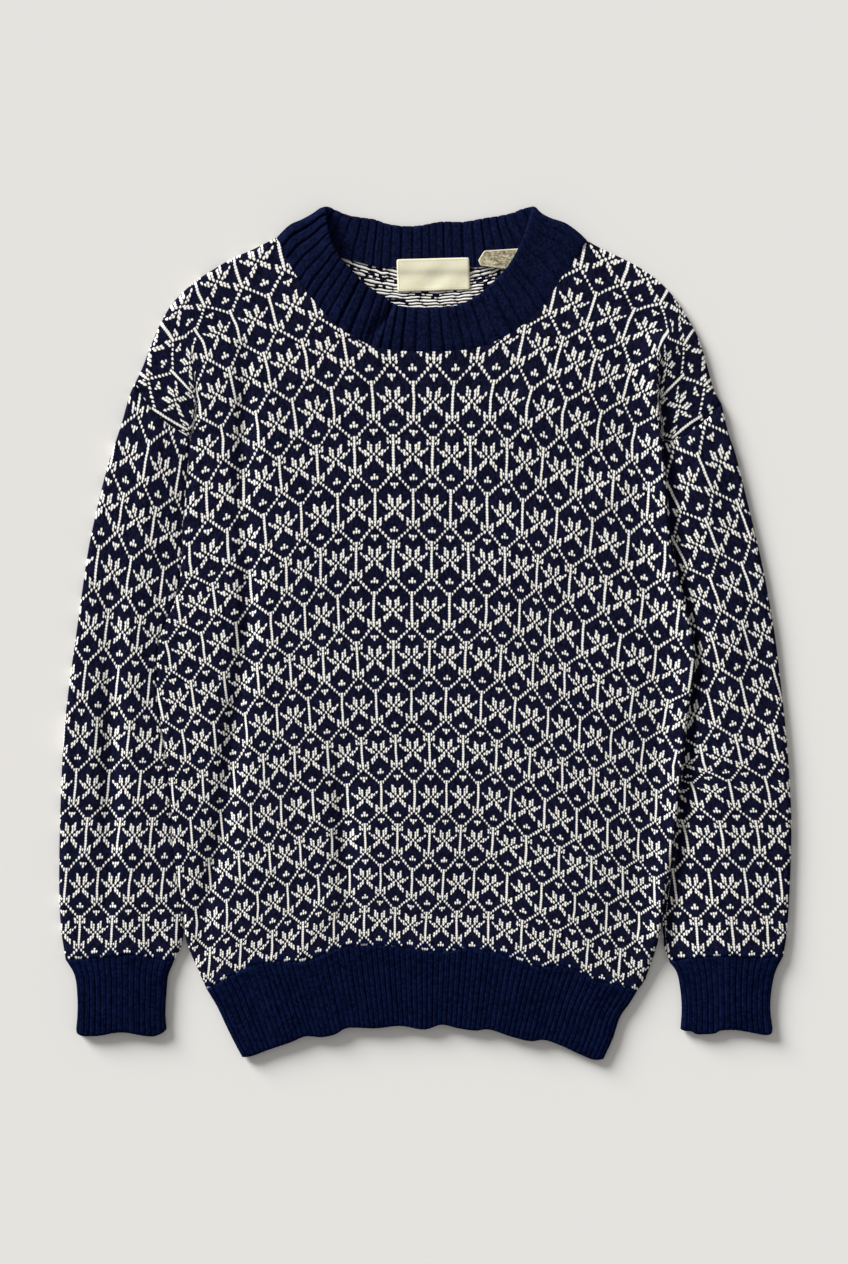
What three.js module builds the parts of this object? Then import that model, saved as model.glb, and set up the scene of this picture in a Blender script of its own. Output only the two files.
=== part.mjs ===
// A crew-neck pullover in two-colour jacquard knit with ribbed trims, laid flat on its back.
// Millimetres, +Z up: the neck points along +Y, the front faces +Z and the back lies on Z = 0.
import * as THREE from "three";

// Driving dimensions
const KNIT_WALL = 3; // jacquard cloth with the floats on its reverse
const RIB_WALL = 3; // single rib of the hem and cuffs
const BAND_WALL = 4.6; // rib of the neck, doubled
const LABEL_WALL = 1;
const SEAM_GAP = 0.3; // between pieces that are sewn together
const LAYER_GAP = 1.2; // between the back and the front that lies on it, at the side folds
const FOLD_HEIGHT = KNIT_WALL + LAYER_GAP / 2; // the side folds, above the table
const TOP_HEIGHT = 2 * KNIT_WALL + LAYER_GAP; // the front's outer face near the side folds
const FOLD_ROUND = 5; // how far in from a fold its rounding reaches
const TUBE_ROUND = 8; // the same on the outside of a sleeve or cuff
const SLEEVE_VALLEY = 13; // the same on the sleeve, beside the body
const EDGE_LIP = 0.8; // least wall thickness left at a fold
const TUBE_SLIT = 0.05; // least half height of the hollow inside a sleeve
const TUBE_INSET = 0.12; // how much narrower that hollow gets, as a share of the width
const LOFT = 2.4; // how far the middle of a piece springs up
const LOFT_REACH = 45; // distance from a fold at which most of that is reached
const RIB_SPRING = 0.5; // share of it that the tighter ribs have
const NECK_START = 0.25; // share of a body panel's width from its edge to the corner of the neck
const UNDERARM = 0.88; // share of a body panel's rows that lie below the underarm
const SLEEVE_CLEARANCE = 3.8; // between the body's side fold and the sleeve beside it
const BAND_CLEARANCE = 2.2; // from the neckline of the panels to the neckband's seam edge
const BAND_BED = 3.6; // underside of the neckband at the centre front
const BAND_LAP = 5.2; // underside of the neckband where it lies on its own back half
const LABEL_STEP = 304; // Y at which the labels start to rise from the back to the neckband
const BAND_STEP = 306; // Y at which the neckband rises from the one to the other
const STEP_REACH = 4; // distance along Y over which either rises

// Rounded sizes of the pieces, by which sections are spaced and gaps turned into shares
const BODY_WIDTH = 400;
const BODY_LENGTH = 500;
const HEM_DEPTH = 55;
const SLEEVE_WIDTH = 100;
const CUFF_WIDTH = 80;
const CUFF_DEPTH = 62;
const BAND_FRONT_LENGTH = 420;
const BAND_BACK_LENGTH = 280;
const BAND_DEPTH = 36;

// Outline of the front, seen from above. Every table has the columns x, y.
const leftSide = [
  [-186, -303], [-193, -287], [-203, -262], [-207, -229], [-214, -185], [-217, -134],
  [-225, -74], [-228, -48], [-226, -6], [-210, 37], [-206, 90], [-203, 126], [-200, 166],
];
const rightSide = [
  [181, -304], [187, -295], [200, -256], [204, -225], [211, -185], [218, -129],
  [224, -70], [230, -19], [224, 17], [212, 66], [208, 96], [205, 138], [202, 162],
];
const leftArmhole = [[-200, 166], [-247, 212.5]];
const rightArmhole = [[202, 162], [252.5, 195]];
const leftShoulder = [
  [-247, 212.5], [-241, 225], [-233, 246], [-224, 266], [-214, 282],
  [-196, 299], [-178, 311], [-162, 320], [-148, 326], [-126, 337],
];
const rightShoulder = [
  [252.5, 195], [246, 207], [242, 221], [234, 248], [225, 266],
  [212, 286], [195, 303], [172, 317], [151, 327], [138, 334],
];
const frontNeckline = [
  [-126, 337], [-115, 313], [-95, 283], [-72, 259], [-42, 243], [4, 239],
  [47, 243], [79, 258], [104, 279], [124, 312], [138, 334],
];
const backNeckline = [[-126, 337], [-83, 321], [-38, 312], [4, 311], [47, 312], [92, 321], [138, 334]];
const hemJoin = [
  [-186, -303], [-170, -294], [-148, -283], [-127, -279], [-102, -279], [-75, -268], [-56, -265.5],
  [-26, -266], [16, -271], [36, -267], [66, -273], [94, -283], [119, -283], [146, -295], [162, -299],
  [181, -304],
];

// Rib of the hem
const hemLeft = [[-186, -303], [-177, -318], [-169, -335], [-161, -351], [-155.6, -361]];
const hemRight = [[181, -304], [175, -314], [166, -327], [160, -345], [152, -362.5]];
const hemEdge = [
  [-155.6, -361], [-148, -360], [-133, -354.5], [-114, -348], [-102, -343], [-87, -343.5],
  [-76, -341], [-67, -336], [-42, -336], [-21, -334], [0, -337], [14, -333], [28, -336], [43, -338],
  [54, -337], [73, -343], [90, -347], [101, -346], [116, -351], [131, -358], [144, -363], [152, -362.5],
];

// Neckband: its two folds at the shoulders and its free edges
const bandFoldLeft = [[-126, 337], [-106, 351], [-83, 363]];
const bandFoldRight = [[138, 334], [128, 343], [116, 350], [93, 363]];
const bandFrontEdge = [
  [-83, 363], [-80, 345], [-70.5, 318], [-48.5, 290], [-26, 277], [7, 275.5],
  [37, 280.5], [62, 297.5], [79, 321], [87, 345], [93, 363],
];
const bandBackEdge = [[-83, 363], [-60, 356], [-11, 347], [16, 350], [54, 353.5], [83, 361], [93, 363]];

// Sleeves and cuffs, down the outer and the inner fold
const sleeves = {
  left: {
    armhole: leftArmhole,
    outer: [
      [-247, 212.5], [-251, 204], [-258.5, 178], [-269.5, 144.5], [-277, 116], [-286.5, 72],
      [-293, 28], [-298, -8], [-303.5, -48], [-307, -80], [-310, -134], [-311.5, -218], [-310, -251],
      [-306, -278],
    ],
    inner: [...leftSide.slice(3).reverse(), [-205, -250], [-207, -266], [-214, -280]],
    join: [[-214, -280], [-232, -276], [-250, -273], [-269, -275], [-306, -278]],
    cuffOuter: [[-306, -278], [-298.5, -291], [-296, -310], [-296, -325], [-297, -337]],
    cuffInner: [[-214, -280], [-218.5, -291], [-220, -305], [-221, -325], [-220, -337]],
    cuffEdge: [
      [-220, -337], [-230, -343], [-243, -342], [-254, -340], [-270, -341.5], [-285, -343], [-297, -337],
    ],
    outward: -1,
  },
  right: {
    armhole: rightArmhole,
    outer: [
      [252.5, 195], [259, 168], [263.5, 155.5], [274, 114], [285.5, 66], [293, 28], [297.5, 1],
      [303.5, -48], [308, -91], [311, -134], [312, -160], [311, -207], [308, -256], [305, -275],
    ],
    inner: [...rightSide.slice(3).reverse(), [202, -250], [203, -265], [208, -280]],
    join: [[208, -280], [230, -276], [255, -274], [280, -276], [305, -275]],
    cuffOuter: [[305, -275], [298.5, -288], [295, -304], [294, -320], [296, -337]],
    cuffInner: [[208, -280], [214, -288], [217, -301], [218.5, -319], [217.5, -337]],
    cuffEdge: [
      [217.5, -337], [226, -341], [240, -340], [256, -339], [274, -341], [288, -342], [296, -337],
    ],
    outward: 1,
  },
};

// The largest folds. Columns: x1, y1, x2, y2, half width, rise (a trough is negative).
const folds = [
  [-195, 253, -194, 180, 5, -1.3],
  [207, 256, 203, 175, 5, -1.3],
  [-163, 30, -160, -142, 10, -1.1],
  [-70, -130, -64, -232, 9, -0.9],
  [190, 140, 216, -140, 9, 1.6],
  [-190, 150, -120, 60, 11, 0.9],
  [186, 150, 110, 70, 11, 0.8],
  [-60, -200, -120, -285, 10, 0.9],
  [60, -190, 118, -285, 10, 0.9],
  [-262, -90, -268, -200, 9, -0.9],
  [272, 60, 262, -60, 10, 0.8],
];

// Colours and finishes
const jacquard = { color: 0x3d4058, roughness: 0.95, metalness: 0 };
const ribNavy = { color: 0x0e1a44, roughness: 0.95, metalness: 0 };
const labelCream = { color: 0xefe6c6, roughness: 0.85, metalness: 0 };
const labelGrey = { color: 0xbdb59a, roughness: 0.85, metalness: 0 };

// A smooth curve through a table, as a function of the share of its length.
function path(table) {
  const curve = new THREE.CatmullRomCurve3(
    table.map(([x, y]) => new THREE.Vector3(x, y, 0)),
    false,
    "centripetal",
  );
  curve.arcLengthDivisions = 30 * table.length;
  return (share) => {
    const p = curve.getPointAt(Math.min(1, Math.max(0, share)));
    return [p.x, p.y];
  };
}

const evenly = (count) => Array.from({ length: count + 1 }, (_, i) => i / count);
const sampled = (table, count = 60) => evenly(count).map(path(table));

// A curve through a table whose share is that of its width along X, for columns that run straight.
function pathByWidth(table) {
  const samples = sampled(table, 600);
  const from = samples[0][0];
  const last = samples.length - 1;
  const width = samples[last][0] - from;
  return (share) => {
    const target = from + width * share;
    let i = 1;
    while (i < last && (samples[i][0] - target) * Math.sign(width) < 0) i += 1;
    const [a, b] = [samples[i - 1], samples[i]];
    const part = Math.min(1, Math.max(0, (target - a[0]) / (b[0] - a[0] || 1)));
    return [a[0] + (b[0] - a[0]) * part, a[1] + (b[1] - a[1]) * part];
  };
}

const mix = (a, b, share) => [a[0] + (b[0] - a[0]) * share, a[1] + (b[1] - a[1]) * share];

// A flat patch between two ends and two sides. Straight lines join the ends, and each side
// pulls them to itself by (1 - s) ** hold.
function patch({ start, end, left, right, hold }) {
  return (s, t) => {
    const straight = (across) => mix(start(across), end(across), t);
    const p = straight(s);
    [[left(t), straight(0), (1 - s) ** hold], [right(t), straight(1), s ** hold]].forEach(
      ([side, line, pull]) => {
        p[0] += pull * (side[0] - line[0]);
        p[1] += pull * (side[1] - line[1]);
      },
    );
    return p;
  };
}

// Distance from a point to a chain of straight lines.
function distanceTo(chain, x, y) {
  let nearest = Infinity;
  for (let i = 1; i < chain.length; i += 1) {
    const [ax, ay] = chain[i - 1];
    const [dx, dy] = [chain[i][0] - ax, chain[i][1] - ay];
    const along = ((x - ax) * dx + (y - ay) * dy) / (dx * dx + dy * dy);
    const part = Math.min(1, Math.max(0, along));
    nearest = Math.min(nearest, Math.hypot(x - ax - part * dx, y - ay - part * dy));
  }
  return nearest;
}

// Rise of the cloth from the table of folds: each is a soft ridge that fades at its ends.
function foldRise(x, y) {
  return folds.reduce((sum, [x1, y1, x2, y2, halfWidth, rise]) => {
    const [dx, dy] = [x2 - x1, y2 - y1];
    const along = ((x - x1) * dx + (y - y1) * dy) / (dx * dx + dy * dy);
    const off = distanceTo([[x1, y1], [x2, y2]], x, y);
    const fade = Math.sin(Math.PI * Math.min(0.85, Math.max(0.15, along)));
    return sum + rise * fade * Math.exp(-((off / halfWidth) ** 2));
  }, 0);
}

// 0 at a fold and 1 once the distance has passed the rounding: a quarter of an ellipse.
const rounded = (distance, reach) => Math.sqrt(1 - (1 - Math.min(1, distance / reach)) ** 2);
const loft = (distance) => LOFT * (1 - Math.exp(-((distance / LOFT_REACH) ** 2)));

// Distances from a fold at which its rounding has sections.
const SHEET_FOLD = [0, 0.6, 2, FOLD_ROUND];
const TUBE_FOLD = [0, 1, 3.4, 7.8];

// Shares from 0 to 1 across a width: those of both folds and an even count between them.
function shares(width, count, fold) {
  const edge = fold.map((distance) => distance / width);
  const first = edge[edge.length - 1];
  const middle = evenly(count).slice(1, -1).map((share) => first + (1 - 2 * first) * share);
  return [...edge, ...middle, ...edge.map((share) => 1 - share).reverse()];
}

// A closed mesh from four-cornered faces of vertex numbers, turned so that they point outwards.
function solid(name, points, quads, finish) {
  const faces = quads.flatMap(([a, b, c, d]) => [[a, b, c], [a, c, d]]);
  const volume = faces.reduce((sum, [a, b, c]) => {
    const [p, q, r] = [a, b, c].map((i) => new THREE.Vector3(...points[i]));
    return sum + p.dot(q.cross(r));
  }, 0);
  const outward = volume > 0 ? faces : faces.map(([a, b, c]) => [a, c, b]);
  const geometry = new THREE.BufferGeometry();
  geometry.setAttribute("position", new THREE.Float32BufferAttribute(points.flat(), 3));
  geometry.setIndex(outward.flat());
  geometry.computeVertexNormals();
  const mesh = new THREE.Mesh(geometry, new THREE.MeshStandardMaterial(finish));
  mesh.name = name;
  return mesh;
}

// A sheet with two faces over one flat patch: plan(s, t) gives x and y, top and under give z.
function sheet(name, { plan, across, along, top, under }, finish) {
  const width = across.length;
  const points = [];
  [top, under].forEach((height) =>
    along.forEach((t) =>
      across.forEach((s) => {
        const [x, y] = plan(s, t);
        points.push([x, y, height(x, y, s, t)]);
      }),
    ),
  );
  const layer = width * along.length;
  const quads = [];
  for (let j = 0; j < along.length - 1; j += 1)
    for (let i = 0; i < width - 1; i += 1) {
      const a = j * width + i;
      quads.push([a, a + 1, a + width + 1, a + width]);
      quads.push([layer + a, layer + a + width, layer + a + width + 1, layer + a + 1]);
    }
  const rim = [
    ...Array.from({ length: width - 1 }, (_, i) => i),
    ...Array.from({ length: along.length - 1 }, (_, j) => j * width + width - 1),
    ...Array.from({ length: width - 1 }, (_, i) => layer - 1 - i),
    ...Array.from({ length: along.length - 1 }, (_, j) => (along.length - 1 - j) * width),
  ];
  rim.forEach((a, i) => {
    const b = rim[(i + 1) % rim.length];
    quads.push([a, layer + a, layer + b, b]);
  });
  return solid(name, points, quads, finish);
}

// A flattened tube, open at both ends. Each section is a ring in the upright plane between the
// inner and the outer fold: over the top, round the outer fold and back underneath.
function tube(name, { plan, width, along, topOf, wall }, finish) {
  const round = shares(width, 7, TUBE_FOLD);
  const section = [
    ...round.map((s) => [s, 1]),
    ...round.slice(1, -1).reverse().map((s) => [s, -1]),
  ];
  // The inner ring keeps one wall in from both folds, and closes up towards them.
  const inset = (s) => {
    const [low, high] = [wall / width + TUBE_INSET * s, 1 - wall / width - TUBE_INSET * (1 - s)];
    return Math.max(Math.min(s, high), low);
  };
  const hollow = (d) => (LAYER_GAP / 2) * Math.min(1, Math.max(0, (d - wall) / wall));
  const rings = along.map((t) => {
    const outer = [];
    const inner = [];
    section.forEach(([s, side]) => {
      const [x, y] = plan(s, t);
      const distance = Math.min(s, 1 - s) * width;
      const face = side > 0 ? topOf(x, y, s) : FOLD_HEIGHT * (1 - rounded(distance, FOLD_ROUND));
      outer.push([x, y, face]);
      const [u, v] = plan(inset(s), t);
      const open = TUBE_SLIT + hollow(Math.min(inset(s), 1 - inset(s)) * width);
      const roof = Math.max(topOf(u, v, inset(s)) - wall, FOLD_HEIGHT + open);
      const onFold = s === 0 || s === 1;
      inner.push([u, v, onFold ? FOLD_HEIGHT : side > 0 ? roof : FOLD_HEIGHT - open]);
    });
    return { outer, inner };
  });
  const count = rings[0].outer.length;
  const points = [...rings.flatMap((ring) => ring.outer), ...rings.flatMap((ring) => ring.inner)];
  const layer = count * along.length;
  const quads = [];
  for (let i = 0; i < count; i += 1) {
    const next = (i + 1) % count;
    for (let j = 0; j < along.length - 1; j += 1) {
      const [a, b] = [j * count + i, j * count + next];
      quads.push([a, b, b + count, a + count]);
      quads.push([layer + a, layer + a + count, layer + b + count, layer + b]);
    }
    const last = layer - count;
    quads.push([i, layer + i, layer + next, next]);
    quads.push([last + i, last + next, layer + last + next, layer + last + i]);
  }
  return solid(name, points, quads, finish);
}

const pullover = new THREE.Group();

// Front and back panels. Both share the side folds and the shoulders.
const sideFolds = [sampled(leftSide), sampled(rightSide), sampled(leftShoulder), sampled(rightShoulder)];
const toSideFold = (x, y) => Math.min(...sideFolds.map((chain) => distanceTo(chain, x, y)));

// The edge of a body panel: up the side to the underarm, then along the armhole.
function bodyEdge(side, armhole) {
  const [upSide, upArmhole] = [path(side), path(armhole)];
  return (t) => (t < UNDERARM ? upSide(t / UNDERARM) : upArmhole((t - UNDERARM) / (1 - UNDERARM)));
}

// The top of a body panel: up the left shoulder, round the neck and down the right shoulder.
function bodyTop(neckline) {
  const left = path(leftShoulder);
  const neck = pathByWidth(neckline);
  const right = path([...rightShoulder].reverse());
  return (s) => {
    if (s <= NECK_START) return left(s / NECK_START);
    if (s < 1 - NECK_START) return neck((s - NECK_START) / (1 - 2 * NECK_START));
    return right((s - 1 + NECK_START) / NECK_START);
  };
}

function bodyPlan(neckline) {
  return patch({
    start: pathByWidth(hemJoin),
    end: bodyTop(neckline),
    left: bodyEdge(leftSide, leftArmhole),
    right: bodyEdge(rightSide, rightArmhole),
    hold: 8,
  });
}

// Rows from the hem join to the top edge, closer together under the rounding of the shoulders.
const SHOULDER_ROWS = [0.91, 0.945, 0.972, 0.988, 0.996, 0.999, 1];
const bodyRows = (count) => [
  SEAM_GAP / 2 / BODY_LENGTH,
  ...evenly(count).slice(1).map((t) => t * UNDERARM),
  ...SHOULDER_ROWS,
];

// Columns across a body panel, closer together at the side folds, with one at each neck corner.
function bodyColumns(shoulderCount, neckCount) {
  const near = SHEET_FOLD.map((distance) => distance / BODY_WIDTH);
  const [from, neckShare] = [near[near.length - 1], 1 - 2 * NECK_START];
  const shoulder = evenly(shoulderCount).slice(1).map((share) => from + (NECK_START - from) * share);
  const half = [...near, ...shoulder];
  const neck = evenly(neckCount).slice(1, -1).map((share) => NECK_START + neckShare * share);
  return [...half, ...neck, ...half.map((share) => 1 - share).reverse()];
}
const bodyAcross = bodyColumns(5, 10);
const backAcross = bodyColumns(4, 6);
const frontTop = (x, y) => {
  const distance = toSideFold(x, y);
  const crest = TOP_HEIGHT + loft(distance) + foldRise(x, y);
  const base = FOLD_HEIGHT + SEAM_GAP / 2 + EDGE_LIP;
  return base + (crest - base) * rounded(distance, FOLD_ROUND);
};
const frontUnder = (x, y) => {
  const distance = toSideFold(x, y);
  const open = Math.min(1, Math.max(0, (distance - KNIT_WALL) / FOLD_ROUND));
  const base = FOLD_HEIGHT + SEAM_GAP / 2;
  return base + (TOP_HEIGHT - KNIT_WALL - base + loft(distance) + foldRise(x, y)) * open;
};
pullover.add(
  sheet(
    "front_panel",
    {
      plan: bodyPlan(frontNeckline),
      across: bodyAcross,
      along: bodyRows(16),
      top: frontTop,
      under: frontUnder,
    },
    jacquard,
  ),
);
const rollUp = (distance) => (FOLD_HEIGHT - SEAM_GAP / 2 - EDGE_LIP) * (1 - rounded(distance, FOLD_ROUND));
const lieFlat = (distance, wall) => {
  const open = Math.min(1, Math.max(0, (distance - wall) / FOLD_ROUND));
  return wall + (FOLD_HEIGHT - SEAM_GAP / 2 - wall) * (1 - open);
};
pullover.add(
  sheet(
    "back_panel",
    {
      plan: bodyPlan(backNeckline),
      across: backAcross,
      along: bodyRows(12),
      top: (x, y) => lieFlat(toSideFold(x, y), KNIT_WALL),
      under: (x, y) => rollUp(toSideFold(x, y)),
    },
    jacquard,
  ),
);

// Rib of the hem, front and back
const hemFolds = [sampled(hemLeft), sampled(hemRight)];
const toHemFold = (x, y) => Math.min(...hemFolds.map((chain) => distanceTo(chain, x, y)));
const hemPlan = patch({
  start: pathByWidth(hemJoin),
  end: pathByWidth(hemEdge),
  left: path(hemLeft),
  right: path(hemRight),
  hold: 8,
});
const hemAlong = [SEAM_GAP / HEM_DEPTH, ...evenly(3).slice(1)];
pullover.add(
  sheet(
    "hem_rib_front",
    {
      plan: hemPlan,
      across: bodyAcross,
      along: hemAlong,
      top: (x, y) => {
        const base = FOLD_HEIGHT + SEAM_GAP / 2 + EDGE_LIP;
        const distance = toHemFold(x, y);
        const crest = TOP_HEIGHT + RIB_SPRING * loft(distance);
        return base + (crest - base) * rounded(distance, FOLD_ROUND);
      },
      under: (x, y) => {
        const distance = toHemFold(x, y);
        const open = Math.min(1, Math.max(0, (distance - RIB_WALL) / FOLD_ROUND));
        const rise = (LAYER_GAP - SEAM_GAP) / 2 + RIB_SPRING * loft(distance);
        return FOLD_HEIGHT + SEAM_GAP / 2 + rise * open;
      },
    },
    ribNavy,
  ),
  sheet(
    "hem_rib_back",
    {
      plan: hemPlan,
      across: backAcross,
      along: hemAlong,
      top: (x, y) => lieFlat(toHemFold(x, y), RIB_WALL),
      under: (x, y) => rollUp(toHemFold(x, y)),
    },
    ribNavy,
  ),
);

// Sleeves and cuffs, each one piece folded to a tube
Object.entries(sleeves).forEach(([side, cut]) => {
  const clear = ([x, y]) => [x + cut.outward * SLEEVE_CLEARANCE, y];
  const inner = path(cut.inner);
  const outer = path(cut.outer);
  const clearInner = (t) => {
    const [x, y] = inner(t);
    return [x + cut.outward * SLEEVE_CLEARANCE * (1 - t ** 12), y];
  };
  const armhole = path(cut.armhole);
  const join = path(cut.join);
  const seamShift = ([x, y]) => [x + cut.outward * SEAM_GAP, y - 2 * SEAM_GAP];
  const sleevePlan = patch({
    start: (s) => (s === 0 ? clear(armhole(0)) : seamShift(armhole(s))),
    end: join,
    left: clearInner,
    right: (t) => (t === 0 ? seamShift(outer(0)) : outer(t)),
    hold: 2,
  });
  const sleeveTop = (x, y, s) => {
    const [toInner, toOuter] = [s * SLEEVE_WIDTH, (1 - s) * SLEEVE_WIDTH];
    const shape = rounded(toInner, SLEEVE_VALLEY) * rounded(toOuter, TUBE_ROUND);
    const crest = TOP_HEIGHT + loft(Math.min(toInner, toOuter)) + foldRise(x, y);
    return FOLD_HEIGHT + (crest - FOLD_HEIGHT) * shape;
  };
  pullover.add(
    tube(
      "sleeve_" + side,
      { plan: sleevePlan, width: SLEEVE_WIDTH, along: evenly(13), topOf: sleeveTop, wall: KNIT_WALL },
      jacquard,
    ),
  );
  const cuffOuter = path(cut.cuffOuter);
  const cuffInner = path(cut.cuffInner);
  const seamShare = (2 * SEAM_GAP) / CUFF_DEPTH;
  const below = (curve, t) => curve(seamShare + t * (1 - seamShare));
  const cuffPlan = patch({
    start: (s) => [join(s)[0], join(s)[1] - 2 * SEAM_GAP],
    end: path(cut.cuffEdge),
    left: (t) => below(cuffInner, t),
    right: (t) => below(cuffOuter, t),
    hold: 3,
  });
  const cuffTop = (x, y, s) => {
    const distance = Math.min(s, 1 - s) * CUFF_WIDTH;
    const crest = TOP_HEIGHT + RIB_SPRING * loft(distance);
    return FOLD_HEIGHT + (crest - FOLD_HEIGHT) * rounded(distance, TUBE_ROUND);
  };
  pullover.add(
    tube(
      "cuff_" + side,
      { plan: cuffPlan, width: CUFF_WIDTH, along: evenly(3), topOf: cuffTop, wall: RIB_WALL },
      ribNavy,
    ),
  );
});

// Neckband: a strip of rib folded double and sewn round the neckline. Its front half lies on
// its back half at the two shoulder folds.
const bandFolds = [sampled(bandFoldLeft), sampled(bandFoldRight)];
const toBandFold = (x, y) => Math.min(...bandFolds.map((chain) => distanceTo(chain, x, y)));
const bandUnder = (x, y) => {
  const lap = 1 / (1 + Math.exp((BAND_STEP - y) / STEP_REACH));
  return BAND_BED + (BAND_LAP - BAND_BED) * lap;
};
const bandFrontPlan = patch({
  start: path(frontNeckline),
  end: path(bandFrontEdge),
  left: path(bandFoldLeft),
  right: path(bandFoldRight),
  hold: 6,
});
const bandBackPlan = patch({
  start: path(backNeckline),
  end: path(bandBackEdge),
  left: path(bandFoldLeft),
  right: path(bandFoldRight),
  hold: 6,
});
const bandAlong = [BAND_CLEARANCE / BAND_DEPTH, ...evenly(3).slice(1)];
pullover.add(
  sheet(
    "neckband_front",
    {
      plan: bandFrontPlan,
      across: shares(BAND_FRONT_LENGTH, 24, SHEET_FOLD),
      along: bandAlong,
      top: (x, y) => {
        const floor = bandUnder(x, y) + EDGE_LIP;
        return floor + (BAND_WALL - EDGE_LIP) * rounded(toBandFold(x, y), FOLD_ROUND);
      },
      under: bandUnder,
    },
    ribNavy,
  ),
  sheet(
    "neckband_back",
    {
      plan: bandBackPlan,
      across: shares(BAND_BACK_LENGTH, 16, SHEET_FOLD),
      along: bandAlong,
      top: () => BAND_WALL,
      under: (x, y) => (BAND_WALL - EDGE_LIP) * (1 - rounded(toBandFold(x, y), FOLD_ROUND)),
    },
    ribNavy,
  ),
);

// Labels, each a flat woven tab made from points of what it lies on, moved out
function label(name, corners, finish) {
  const plan = (s, t) => mix(mix(corners[0], corners[1], s), mix(corners[3], corners[2], s), t);
  const under = (x, y) => {
    const ramp = Math.min(1, Math.max(0, (y - LABEL_STEP) / STEP_REACH));
    return KNIT_WALL + SEAM_GAP + (BAND_WALL - KNIT_WALL) * ramp;
  };
  return sheet(
    name,
    { plan, across: evenly(2), along: evenly(6), top: (x, y) => under(x, y) + LABEL_WALL, under },
    finish,
  );
}
pullover.add(
  label("neck_label", [[-23.4, 290.5], [38.3, 292.5], [37.5, 319], [-24, 317]], labelCream),
  label("care_label", [[47, 313], [66, 311.5], [74, 326], [49.5, 325]], labelGrey),
);

// The origin is the middle of the underside of the whole.
const bounds = new THREE.Box3().setFromObject(pullover);
const middle = bounds.getCenter(new THREE.Vector3());
pullover.children.forEach((piece) => piece.position.set(-middle.x, -middle.y, -bounds.min.z));

export default pullover;
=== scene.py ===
"""A crew-neck pullover in two-colour jacquard knit, laid flat on its back on a pale table.

Lengths are in millimetres, as a maker would chalk them on the table: x to the right of
someone who looks at the front, y towards the neck, z up. The meshes are in metres.
"""
import functools

import bpy
import numpy as np
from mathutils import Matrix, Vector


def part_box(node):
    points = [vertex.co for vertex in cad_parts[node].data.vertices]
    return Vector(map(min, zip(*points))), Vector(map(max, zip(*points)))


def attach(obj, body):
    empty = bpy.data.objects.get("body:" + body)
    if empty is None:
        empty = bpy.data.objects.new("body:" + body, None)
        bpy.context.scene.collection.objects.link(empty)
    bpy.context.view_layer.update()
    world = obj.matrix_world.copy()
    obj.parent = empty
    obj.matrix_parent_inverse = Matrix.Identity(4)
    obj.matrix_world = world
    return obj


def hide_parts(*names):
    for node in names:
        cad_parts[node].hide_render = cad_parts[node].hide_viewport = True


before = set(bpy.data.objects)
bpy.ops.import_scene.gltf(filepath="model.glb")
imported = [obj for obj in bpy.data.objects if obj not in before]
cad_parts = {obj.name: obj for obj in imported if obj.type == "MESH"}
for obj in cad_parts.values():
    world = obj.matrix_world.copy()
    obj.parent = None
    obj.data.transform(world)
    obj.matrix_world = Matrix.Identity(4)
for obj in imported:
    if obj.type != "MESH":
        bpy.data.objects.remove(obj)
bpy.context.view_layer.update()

# --- The table, the camera and the light -----------------------------------------------------
# A matt, warm white table top. The camera hangs straight above it. Wide soft daylight comes in
# low from beyond the neck, a little from the left, with a pale room all round.
MM = 0.001
VIEW_LENGTH = 1.0744  # metres of table that the long side of the view covers
LENS = 85.0
SENSOR = 36.0
AIM = (-0.0011, 0.0009, 0.008)  # what the camera looks straight down on
camera_data = bpy.data.cameras.new("camera")
camera_data.lens = LENS
camera_data.sensor_width = SENSOR
camera = bpy.data.objects.new("camera", camera_data)
camera.location = (AIM[0], AIM[1], AIM[2] + VIEW_LENGTH * LENS / SENSOR)
bpy.context.scene.collection.objects.link(camera)
bpy.context.scene.camera = camera

TABLE_HALF = 30.0
TABLE_TOP = -0.0004  # just clear of the cloth
TABLE_WHITE = (0.80, 0.785, 0.755, 1)
table_corners = [
    (x * TABLE_HALF, y * TABLE_HALF, TABLE_TOP) for x, y in ((-1, -1), (1, -1), (1, 1), (-1, 1))
]
table_mesh = bpy.data.meshes.new("table")
table_mesh.from_pydata(table_corners, [], [(0, 1, 2, 3)])
table = bpy.data.objects.new("table", table_mesh)
bpy.context.scene.collection.objects.link(table)
table_paint = bpy.data.materials.new("table_paint")
table_paint.use_nodes = True
paint = table_paint.node_tree.nodes["Principled BSDF"]
paint.inputs["Base Color"].default_value = TABLE_WHITE
paint.inputs["Roughness"].default_value = 0.9
paint.inputs["Specular IOR Level"].default_value = 0.1
table_mesh.materials.append(table_paint)

ROOM_WHITE = (1.0, 0.99, 0.985, 1)
ROOM_STRENGTH = 0.36
bpy.context.scene.view_settings.view_transform = "Standard"
room = bpy.data.worlds.new("room")
room.use_nodes = True
room.node_tree.nodes["Background"].inputs["Color"].default_value = ROOM_WHITE
room.node_tree.nodes["Background"].inputs["Strength"].default_value = ROOM_STRENGTH
bpy.context.scene.world = room

DAYLIGHT_FROM = np.array([-1.0, 1.0, 0.57])
DAYLIGHT_STRENGTH = 5.2
DAYLIGHT_SPREAD = 27  # degrees
daylight_data = bpy.data.lights.new("daylight", "SUN")
daylight_data.energy = DAYLIGHT_STRENGTH
daylight_data.angle = np.radians(DAYLIGHT_SPREAD)
daylight = bpy.data.objects.new("daylight", daylight_data)
away = DAYLIGHT_FROM / np.linalg.norm(DAYLIGHT_FROM)
daylight.rotation_euler = (np.arccos(away[2]), 0, np.arctan2(away[0], -away[1]))
bpy.context.scene.collection.objects.link(daylight)

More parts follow.
